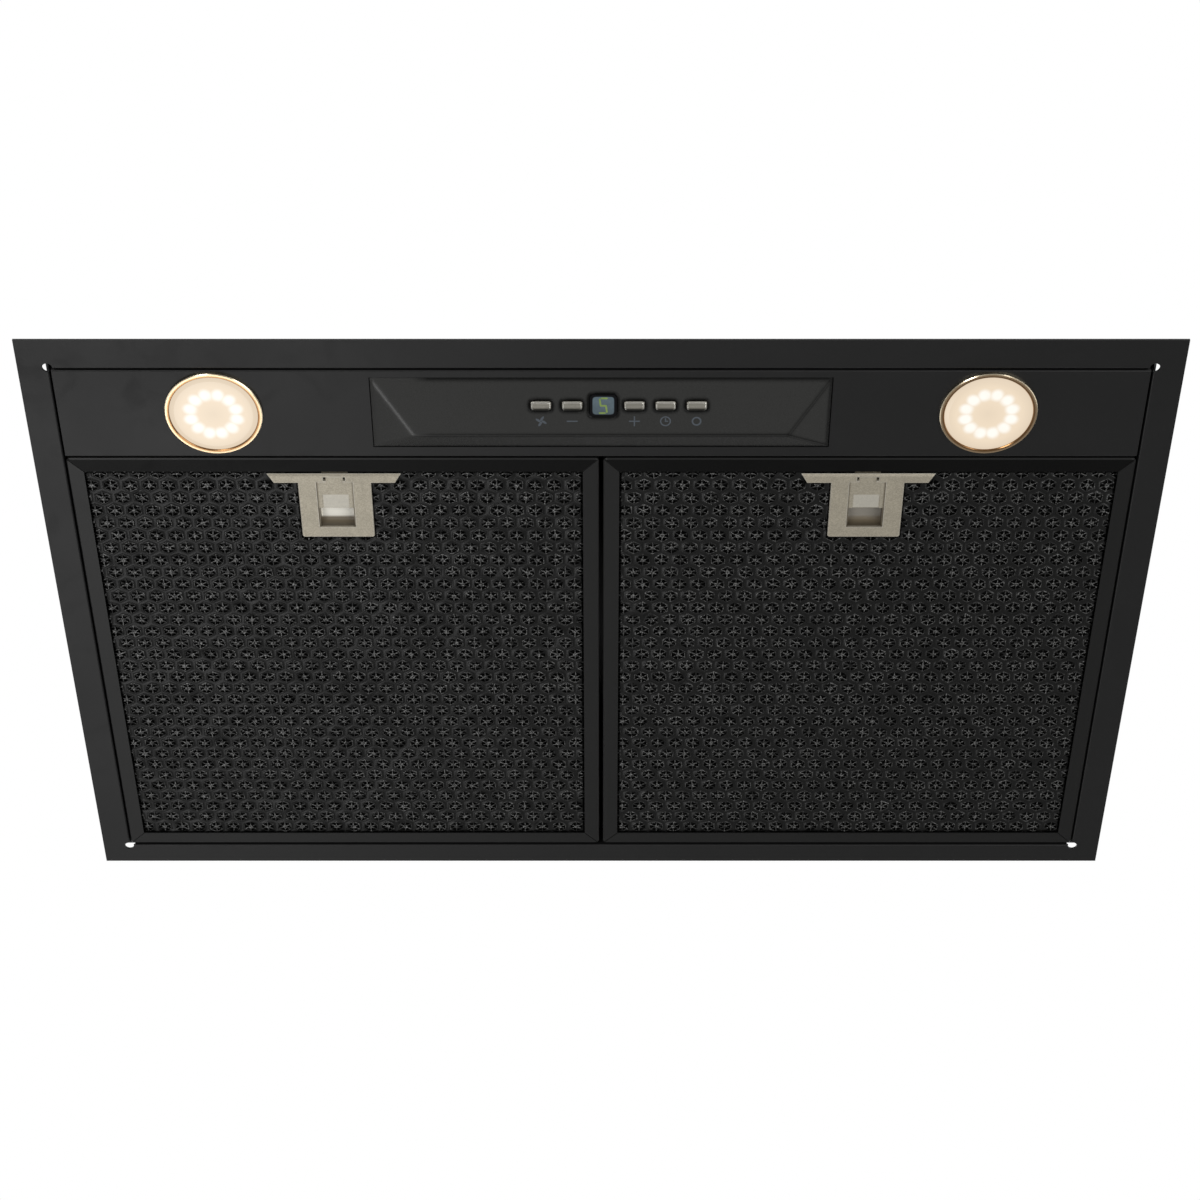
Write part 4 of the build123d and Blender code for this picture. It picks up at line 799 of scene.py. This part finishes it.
    def pane(self, face):
        """The display pane, its border found from the pane's own axes."""
        width, height = face.spread("display_window")
        coat = Coat("Display Pane", Specular_IOR_Level=0.06, Coat_Roughness=0.14)
        place = coat.local(face.outer("display_window"), (width / 2, height / 2, width / 2),
                           face.lean)
        made = coat.put("Group", {"Vector": place, "Colour": (*self.settings.display, 1.0)},
                        node_tree=self.groups["Pane Gradient"])
        coat.feed(Base_Color=made["Colour"], Roughness=made["Roughness"], Coat_Weight=made["Coat"])
        return coat

    def lit_digit(self):
        """Glowing segments, a little uneven."""
        coat = Coat("Lit Digit", Base_Color=(0.02, 0.03, 0.01, 1.0), Roughness=0.4,
                    Emission_Strength=0.45)
        uneven = coat.vary(coat.noise(700.0), 0.85, 1.1)
        coat.feed(Emission_Color=coat.tint(self.settings.digit, uneven))
        return coat

    def by_slot(self, face):
        """One coat for each of the record's slots that has no pattern of its own."""
        s = self.settings
        metal = {"Metallic": 1.0}
        table = {
            "frame_paint": ("Hood Paint", "Satin Coat", s.paint, 0.43, 0.12,
                            {"Specular_IOR_Level": 0.32}),
            "galvanised_sheet": ("Galvanised Sheet", "Zinc Spangle", s.zinc, 0.4, 0.1, metal),
            "plated_steel": ("Plated Steel", "Brushed Metal", (0.6, 0.6, 0.58), 0.28, 0.12, metal),
            "duct_plastic": ("Duct Plastic", "Satin Coat", (0.035, 0.036, 0.038), 0.5, 0.25, {}),
            "fan_plastic": ("Fan Plastic", "Satin Coat", (0.05, 0.05, 0.052), 0.45, 0.2, {}),
            "motor_can": ("Motor Can", "Brushed Metal", (0.3, 0.31, 0.32), 0.36, 0.2, metal),
            "box_plastic": ("Box Plastic", "Satin Coat", (0.55, 0.55, 0.53), 0.48, 0.25, {}),
            "circuit_board": ("Circuit Board", "Board Tracks", (0.03, 0.16, 0.05), 0.35, 0.3, {}),
            "transformer_core": ("Transformer Core", "Woven Bands", (0.2, 0.2, 0.21), 0.45, 0.4,
                                 {"Metallic": 0.8}),
            "component_plastic": ("Component Plastic", "Satin Coat", (0.03, 0.03, 0.032), 0.42, 0.2,
                                  {}),
            "loom_sleeve": ("Loom Sleeve", "Woven Bands", (0.035, 0.035, 0.037), 0.55, 0.6, {}),
            "control_plastic": ("Control Plastic", "Satin Coat", s.moulding, 0.27, 0.2,
                                {"Specular_IOR_Level": 0.08, "Coat_Roughness": 0.27}),
            "button_chrome": ("Button Chrome", "Brushed Metal", s.chrome, 0.2, 0.05, metal),
            "button_rim": ("Button Rim Chrome", "Brushed Metal", s.chrome_rim, 0.18, 0.05, metal),
            "lamp_sink": ("Lamp Sink", "Brushed Metal", (0.55, 0.56, 0.57), 0.4, 0.2, metal),
            "filter_mesh_metal": ("Mesh Coat", "Satin Coat", s.mesh, 0.36, 0.3, {}),
            "latch_champagne": ("Champagne Coat", "Metallic Speckle", s.champagne, 0.42, 0.1,
                                {"Metallic": 0.35}),
            "symbol_ink": ("Symbol Ink", "Satin Coat", s.symbol, 0.5, 0.1, {}),
        }
        made = {slot: self.surface(*row, **constants) for slot, (*row, constants) in table.items()}
        self.soften(made["control_plastic"])
        self.paint_edge_highlights(made["latch_champagne"])
        for slot in ("button_chrome", "button_rim"):
            self.shade_foot(made[slot], face)
        return made

    def paint_edge_highlights(self, coat):
        """Paints a highlight in a paler tone on the rolled edges of the latch plates."""
        _, _, bend = coat.bent(EDGE)
        edge_highlight = coat.ramp(bend, 0.1, 0.5, 0.0, 0.75)
        pale = (*self.settings.pad, 1.0)
        coat.feed(Base_Color=coat.blend(edge_highlight, coat.fed("Base Color"), pale))

    def shade_foot(self, coat, face):
        """Darkens the buttons along their rear edge, where the slot shades them."""
        along = coat.vectors("DOT_PRODUCT", coat.place, face.down)["Value"]
        middle = face.outer("button_fan").dot(face.down)
        half = face.spread("button_fan")[1] / 2
        coat.darken(coat.ramp(along, middle + half * 0.2, middle + half * 0.75, 1.0, 0.05))

    def soften(self, coat):
        """Rounds the moulding's ridges to the eye, shades those away from the light and dulls
        the rear slope."""
        ridge, flat, bend = coat.bent(RIDGE)
        x, y, _ = coat.split(flat)
        across = coat.axes()["X"]
        lit = coat.less(1.0, coat.mul(coat.ramp(bend, 0.02, 0.12),
                                      coat.ramp(across, *RIDGE_SHADE, 0.0, 0.8)))
        # The end slopes take more coat on the right than on the left: a painted sheen that lightens the right
        # slope.
        gloss = coat.mul(coat.ramp(y, 0.15, 0.4, 0.52, 0.0),
                         coat.ramp(x, -END_SLOPE, END_SLOPE, 0.7, 1.3), lit)
        coat.fill(coat.relief, {"Normal": ridge})
        coat.feed(Coat_Normal=ridge, Coat_Weight=gloss)
        coat.darken(lit)


FINISHES = {}


# Operators, one for each group of like pieces and one for the stage

class HOOD_OT_coat_parts(bpy.types.Operator):
    """Gives every CAD part its finish"""

    bl_idname = "hood.coat_parts"
    bl_label = "Coat Parts"

    def execute(self, context):
        scene = context.scene
        settings = scene.hood_finish
        finishes = Finishes(settings)
        face = ControlFace(scene.hood_controls.button_proud)
        coats = finishes.by_slot(face)
        for side, painted_roof_tone in zip(SIDES, (settings.roof, settings.roof_shade)):
            coats[f"lamp_lens_{side}"], radius = finishes.lit_lens(side)
            coats[f"lamp_bezel_{side}"] = finishes.lamp_ring(side, radius)
            coats[f"latch_slider_{side}"] = finishes.slider(side, painted_roof_tone)
            coats[f"filter_frame_{side}"] = finishes.frame_coat(side)
            coats[f"mesh_screen_{side}"] = finishes.screen_coat(side, scene.hood_screen)
        coats["display_window"] = finishes.pane(face)
        coats["digit"] = finishes.lit_digit()
        FINISHES.update({name: coat.material for name, coat in coats.items()})
        slots = {p["node"]: p["material_slot"] for p in frame["record"]["subparts"]}
        for name, part in frame["nodes"].items():
            part.data.materials.clear()
            part.data.materials.append(FINISHES.get(name) or FINISHES[slots[name]])
        return {"FINISHED"}


class HOOD_OT_add_screens(bpy.types.Operator):
    """Presses the flower-shaped clusters of holes into each filter's front mesh"""

    bl_idname = "hood.add_screens"
    bl_label = "Add Mesh Screens"

    def execute(self, context):
        for side in SIDES:
            self.press(context.scene.hood_screen, side)
        return {"FINISHED"}

    def press(self, s, side):
        """Lays out the clusters, dents them, cuts the sheet to size, draws up its border and
        clears the latch."""
        low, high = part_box(f"filter_front_mesh_{side}")
        piece = self.cluster(s, f"mesh_screen_{side}")
        across = math.ceil((high.x - low.x) / s.pitch) + 2
        pairs = math.ceil((high.y - low.y) / (2 * s.row)) + 2
        move(low.x - s.pitch / 2, low.y - s.row - s.start, low.z)
        bpy.ops.object.mode_set(mode="OBJECT")
        for count, offset in ((2, (s.pitch / 2, s.row, 0.0)), (across, (s.pitch, 0.0, 0.0)),
                              (pairs, (0.0, 2 * s.row, 0.0))):
            shape_with(piece, "ARRAY", count=count, use_relative_offset=False,
                       use_constant_offset=True, constant_offset_displace=offset)
        clouds = bpy.data.textures.new(f"pressing_{side}", "CLOUDS")
        clouds.noise_scale = CRUMPLE
        clouds.cloud_type = "COLOR"
        shape_with(piece, "DISPLACE", texture=clouds, texture_coords="LOCAL",
                   direction="RGB_TO_XYZ", vertex_group=piece.vertex_groups[0].name,
                   strength=s.waver, mid_level=0.5)
        bpy.ops.object.mode_set(mode="EDIT")
        select()
        bpy.ops.mesh.remove_doubles(threshold=WELD)
        foot = s.lap + s.margin
        for inset in (0.0, foot - DRAW, foot):
            edge = Vector((inset, inset, 0.0))
            for point, outwards in ((low + edge, (-1, 0, 0)), (high - edge, (1, 0, 0)),
                                    (low + edge, (0, -1, 0)), (high - edge, (0, 1, 0))):
                select()
                bpy.ops.mesh.bisect(plane_co=point, plane_no=outwards, clear_outer=inset == 0.0)
        inner = foot - DRAW / 2
        pick(piece, "verts",
             lambda p: min(p.x - low.x, high.x - p.x, p.y - low.y, high.y - p.y) < inner)
        scale(1.0, 1.0, 0.0, (0.0, 0.0, low.z))
        move(0.0, 0.0, s.margin_rise)
        self.clear_latch(s, piece, side, low.z)
        settle(piece, smooth=math.radians(48.0))
        finish_piece(piece, f"filter_{side}", "filter_mesh_metal", FINISHES[f"mesh_screen_{side}"],
                     f"filter_front_mesh_{side}")

    def cluster(self, s, name):
        """One six-sided tile of the sheet with a low crown of six pressed holes."""
        corner = s.pitch / math.sqrt(3.0)
        piece = begin(name, bpy.ops.mesh.primitive_circle_add, vertices=6, radius=corner,
                      fill_type="NGON")
        scale(1.0, s.row / (1.5 * corner))
        for share, rise in ((s.cluster, 0.0), *CROWN_STEPS):
            extrude(z=-s.crown * rise)
            scale(share, share)
        edge = corner * s.cluster
        pick(piece, "verts", lambda p: p.xy.length < edge * 1.01)
        bpy.ops.object.vertex_group_assign_new()
        pick(piece, "faces",
             lambda p: edge * 0.3 < p.xy.length < edge * 0.72 and p.z < -s.crown * 0.76)
        bpy.ops.mesh.inset(thickness=s.rim, depth=0.0, use_individual=True)
        bpy.ops.geometry.attribute_add(name=HOLE, domain="FACE", data_type="FLOAT")
        bpy.ops.mesh.attribute_set(value_float=1.0)
        bpy.ops.mesh.inset(thickness=s.rim * 0.6, depth=s.pit, use_individual=True)
        pick(piece, "faces", lambda p: p.length < WELD)
        bpy.ops.mesh.delete(type="FACE")
        select()
        bpy.ops.mesh.flip_normals()
        return piece

    def clear_latch(self, s, piece, side, level):
        """Flattens the sheet under the latch plate and opens it for the slider."""
        low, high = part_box(f"latch_plate_{side}")
        pad_low, pad_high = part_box(f"latch_slider_{side}")
        middle = (low.x + high.x) / 2

        def under_plate(p):
            width = high.x - low.x if p.y < low.y + s.latch_bar else s.latch_body
            return low.y - EDGE < p.y < high.y + EDGE and abs(p.x - middle) < width / 2 + EDGE

        pick(piece, "verts", under_plate)
        scale(1.0, 1.0, 0.0, (0.0, 0.0, level))
        left, right, rear = pad_low.x - EDGE, pad_high.x + EDGE, high.y - EDGE
        for point, facing in (((left, 0.0, 0.0), (1, 0, 0)), ((right, 0.0, 0.0), (1, 0, 0)),
                              ((0.0, rear, 0.0), (0, 1, 0))):
            pick(piece, "faces",
                 lambda p: left - s.pitch < p.x < right + s.pitch and p.y < high.y)
            bpy.ops.mesh.bisect(plane_co=point, plane_no=facing)
        pick(piece, "faces", lambda p: left < p.x < right and p.y < rear)
        bpy.ops.mesh.delete(type="FACE")


class HOOD_OT_add_springs(bpy.types.Operator):
    """Folds the strip of each latch spring, which the slider squeezes"""

    bl_idname = "hood.add_springs"
    bl_label = "Add Latch Springs"

    def execute(self, context):
        s = context.scene.hood_spring
        for side in SIDES:
            low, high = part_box(f"latch_spring_{side}")
            piece = self.fold(s, f"spring_strip_{side}", low, high)
            finish_piece(piece, f"filter_{side}", "plated_steel", FINISHES["plated_steel"],
                         f"latch_spring_{side}")
            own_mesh(piece)
        return {"FINISHED"}

    def fold(self, s, name, low, high):
        """One strip folded to and fro between two corners, with rounded bends."""
        middle = (low + high) / 2
        run = high.x - low.x - s.strip
        step = (high.y - low.y - s.strip) / (2 * s.folds)
        piece = begin(name, bpy.ops.mesh.primitive_plane_add, size=1.0)
        turn(QUARTER_TURN, "X")
        scale(run, 1.0, high.z - low.z)
        move(middle.x, low.y + s.strip / 2, middle.z)
        pick(piece, "edges", lambda p: p.x > middle.x + run / 2 - WELD)
        for back in (True, False) * s.folds:
            extrude(y=step)
            extrude(x=-run if back else run)
        ends = (Vector((middle.x - run / 2, low.y + s.strip / 2, middle.z)),
                Vector((middle.x + run / 2, high.y - s.strip / 2, middle.z)))
        pick(piece, "edges", lambda p: abs(p.z - middle.z) < WELD and
             min((p - e).length for e in ends) > WELD)
        bpy.ops.mesh.bevel(offset=s.bend, segments=3, affect="EDGES")
        bpy.ops.object.mode_set(mode="OBJECT")
        shape_with(piece, "SOLIDIFY", thickness=s.strip, offset=0.0)
        bpy.ops.object.mode_set(mode="EDIT")
        settle(piece)
        return piece


class HOOD_OT_add_button_rims(bpy.types.Operator):
    """Adds the raised rim round the dished face of each button"""

    bl_idname = "hood.add_button_rims"
    bl_label = "Add Button Rims"

    def execute(self, context):
        s = context.scene.hood_controls
        face = ControlFace(s.button_proud)
        for name in BUTTONS:
            piece = begin(f"button_rim_{name}", bpy.ops.mesh.primitive_plane_add, size=1.0)
            scale(*face.spread(f"button_{name}"))
            bpy.ops.mesh.bevel(offset=s.button_corner, segments=5, affect="VERTICES")
            bpy.ops.mesh.select_mode(type="FACE")
            select()
            bpy.ops.mesh.inset(thickness=s.rim_width)
            bpy.ops.mesh.delete(type="FACE")
            select()
            extrude(z=s.rim_height)
            pick(piece, "edges", lambda p: p.z > s.rim_height * 0.9)
            bpy.ops.mesh.bevel(offset=s.rim_width * 0.3, segments=3)
            settle(piece, face.outer(f"button_{name}"), face.lean)
            finish_piece(piece, f"button_{name}", "button_chrome", FINISHES["button_rim"])
        return {"FINISHED"}


class HOOD_OT_add_symbols(bpy.types.Operator):
    """Prints a symbol under each button"""

    bl_idname = "hood.add_symbols"
    bl_label = "Add Button Symbols"

    def execute(self, context):
        s = context.scene.hood_controls
        face = ControlFace(s.button_proud)
        for name in BUTTONS:
            draw = getattr(self, name)
            piece = draw(f"symbol_{name}", s)
            thicken(s.ink)
            settle(piece, face.below(f"button_{name}", s.symbol_drop), face.lean)
            finish_piece(piece, "hood", "control_plastic", FINISHES["symbol_ink"])
        return {"FINISHED"}

    def fan(self, name, s):
        """Four leaning blades."""
        size = s.symbol_size
        piece = begin(name, bpy.ops.mesh.primitive_circle_add, vertices=16, radius=size * 0.27,
                      fill_type="NGON")
        scale(0.42, 1.0)
        turn(math.radians(35.0))
        move(size * 0.09, size * 0.27)
        for _ in range(3):
            bpy.ops.mesh.duplicate()
            turn(QUARTER_TURN)
        return piece

    def slower(self, name, s):
        """Minus, with rounded ends."""
        piece = begin(name, bpy.ops.mesh.primitive_plane_add, size=1.0)
        scale(s.symbol_size, s.symbol_stroke)
        bpy.ops.mesh.bevel(offset=s.symbol_stroke * 0.3, segments=3, affect="VERTICES")
        return piece

    def faster(self, name, s):
        """Plus, its four arms drawn out of a square."""
        stroke = s.symbol_stroke
        piece = begin(name, bpy.ops.mesh.primitive_plane_add, size=stroke)
        arm = (s.symbol_size - stroke) / 2
        for x, y in ((1, 0), (-1, 0), (0, 1), (0, -1)):
            side = Vector((x, y, 0.0)) * stroke / 2
            pick(piece, "edges", lambda p: (p - side).length < WELD)
            extrude(x * arm, y * arm)
        return piece

    def ring(self, name, size, stroke):
        """A flat ring."""
        piece = begin(name, bpy.ops.mesh.primitive_circle_add, vertices=40, radius=size / 2,
                      fill_type="NOTHING")
        bpy.ops.mesh.select_mode(type="EDGE")
        select()
        extrude()
        inner = 1 - 2 * stroke / size
        scale(inner, inner)
        return piece

    def timer(self, name, s):
        """A clock: ring and two hands."""
        stroke = s.symbol_stroke
        piece = self.ring(name, s.symbol_size, stroke)
        hand = s.symbol_size * 0.3
        for x, y, wide, high in ((0.0, hand / 2, stroke, hand),
                                 (hand / 2 - stroke / 2, 0.0, hand, stroke)):
            select(False)
            bpy.ops.mesh.primitive_plane_add(size=1.0, location=(x, y, 0.0))
            scale(wide, high, about=(x, y, 0.0))
        return piece

    def light(self, name, s):
        """A lamp: bolder ring."""
        return self.ring(name, s.symbol_size * 0.9, s.symbol_stroke * 1.25)


class HOOD_OT_add_digit(bpy.types.Operator):
    """Lights the figure five in the display"""

    bl_idname = "hood.add_digit"
    bl_label = "Add Display Digit"

    def execute(self, context):
        s = context.scene.hood_controls
        face = ControlFace(s.button_proud)
        half = s.digit_height / 2 - s.digit_stroke / 2
        side = s.digit_width / 2 - s.digit_stroke / 2
        run = s.digit_width - s.digit_stroke * 1.15
        rise = half - s.digit_stroke * 0.15
        slope = math.tan(s.digit_slant)
        upright = QUARTER_TURN - s.digit_slant
        bars = ((slope * half, half, run, 0.0), (0.0, 0.0, run, 0.0),
                (-slope * half, -half, run, 0.0),
                (slope * half / 2 - side, half / 2, rise, upright),
                (side - slope * half / 2, -half / 2, rise, upright))
        piece = begin("display_digit", bpy.ops.mesh.primitive_plane_add, size=1.0)
        for number, (x, y, long, lean) in enumerate(bars):
            if number:
                select(False)
                bpy.ops.mesh.primitive_plane_add(size=1.0, location=ORIGIN)
            scale(long, s.digit_stroke)
            bpy.ops.mesh.bevel(offset=s.digit_stroke * 0.4, segments=1, affect="VERTICES")
            turn(lean)
            move(x, y)
        thicken(s.ink)
        settle(piece, face.outer("display_window"), face.lean)
        finish_piece(piece, "hood", "display_pane", FINISHES["digit"])
        return {"FINISHED"}


class HOOD_OT_set_stage(bpy.types.Operator):
    """Sets the floor, the soft studio light and the camera"""

    bl_idname = "hood.set_stage"
    bl_label = "Set Stage"

    def execute(self, context):
        scene = context.scene
        s = scene.hood_stage
        floor = begin("studio_floor", bpy.ops.mesh.primitive_plane_add, size=14.0)
        bpy.ops.mesh.subdivide(number_cuts=3)
        settle(floor, (0.0, 0.0, -s.drop))
        coat = Coat("Studio Floor", Base_Color=(*s.floor, 1.0), Roughness=0.7)
        floor.data.materials.append(coat.material)
        for name, width, place in LAMPS:
            self.lamp(f"{name}_lamp", getattr(s, name), width, Vector(place))
        self.sky(scene, s.ambient)
        back = Vector((0.0, -math.cos(s.below), -math.sin(s.below)))
        bpy.ops.object.camera_add(location=Vector(TARGET) + back * s.distance,
                                  rotation=(QUARTER_TURN + s.below, 0.0, 0.0))
        camera = context.object
        camera.name = "photo_camera"
        camera.data.lens = s.lens
        camera.data.sensor_width = 36.0
        camera.data.dof.use_dof = False
        scene.camera = camera
        scene.view_settings.view_transform = "Standard"
        return {"FINISHED"}

    def lamp(self, name, watts, width, place):
        """A soft box that looks at the hood."""
        bpy.ops.object.light_add(type="AREA", location=place)
        made = bpy.context.object
        made.name = name
        made.data.energy = watts
        made.data.size = width
        made.rotation_euler = (-place).to_track_quat("-Z", "Y").to_euler()

    def sky(self, scene, strength):
        """Even soft light, white where the camera or a reflection sees it."""
        scene.world = bpy.data.worlds.new("Studio Sky")
        scene.world.use_nodes = True
        nodes = Nodes(scene.world.node_tree)
        soft = nodes.tree.nodes["Background"]
        nodes.fill(soft.inputs, {"Color": WHITE, "Strength": strength})
        white = nodes.put("Background", {"Color": WHITE, "Strength": 1.0})
        path = nodes.put("LightPath")
        seen = nodes.maths("MAXIMUM", path["Is Glossy Ray"], path["Is Transmission Ray"])
        seen = nodes.maths("MAXIMUM", path["Is Camera Ray"], seen)
        mixed = nodes.put("MixShader", {0: seen, 1: soft.outputs[0], 2: white[0]})
        nodes.fill(nodes.tree.nodes["World Output"].inputs, {"Surface": mixed[0]})


class HOOD_PT_sidebar(bpy.types.Panel):
    """Lists the hood's settings and operators."""

    bl_label = "Range Hood"
    bl_idname = "HOOD_PT_sidebar"
    bl_space_type = "VIEW_3D"
    bl_region_type = "UI"
    bl_category = "Hood"

    def draw(self, context):
        for group_name in SETTINGS:
            settings = getattr(context.scene, group_name)
            box = self.layout.box()
            box.label(text=settings.bl_rna.description)
            for name in settings.bl_rna.properties.keys():
                if name not in ("name", "rna_type"):
                    box.prop(settings, name)
        for made in OPERATORS:
            self.layout.operator(made.bl_idname)


OPERATORS = (HOOD_OT_coat_parts, HOOD_OT_add_screens, HOOD_OT_add_springs, HOOD_OT_add_button_rims,
             HOOD_OT_add_symbols, HOOD_OT_add_digit, HOOD_OT_set_stage)
SETTINGS = {"hood_screen": HoodScreenSettings, "hood_spring": HoodSpringSettings,
            "hood_controls": HoodControlSettings, "hood_finish": HoodFinishSettings,
            "hood_stage": HoodStageSettings}


def register():
    """Registers the settings, operators and panel."""
    for made in (*SETTINGS.values(), *OPERATORS, HOOD_PT_sidebar):
        bpy.utils.register_class(made)
    for name, made in SETTINGS.items():
        setattr(bpy.types.Scene, name, PointerProperty(type=made))


def unregister():
    """Takes them away again."""
    for name in SETTINGS:
        delattr(bpy.types.Scene, name)
    for made in (HOOD_PT_sidebar, *reversed(OPERATORS), *reversed(SETTINGS.values())):
        bpy.utils.unregister_class(made)


def main():
    """Builds the looks in order."""
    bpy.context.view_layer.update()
    register()
    bpy.ops.hood.coat_parts()
    bpy.ops.hood.add_screens()
    bpy.ops.hood.add_springs()
    bpy.ops.hood.add_button_rims()
    bpy.ops.hood.add_symbols()
    bpy.ops.hood.add_digit()
    bpy.ops.hood.set_stage()


if __name__ == "__main__":
    main()
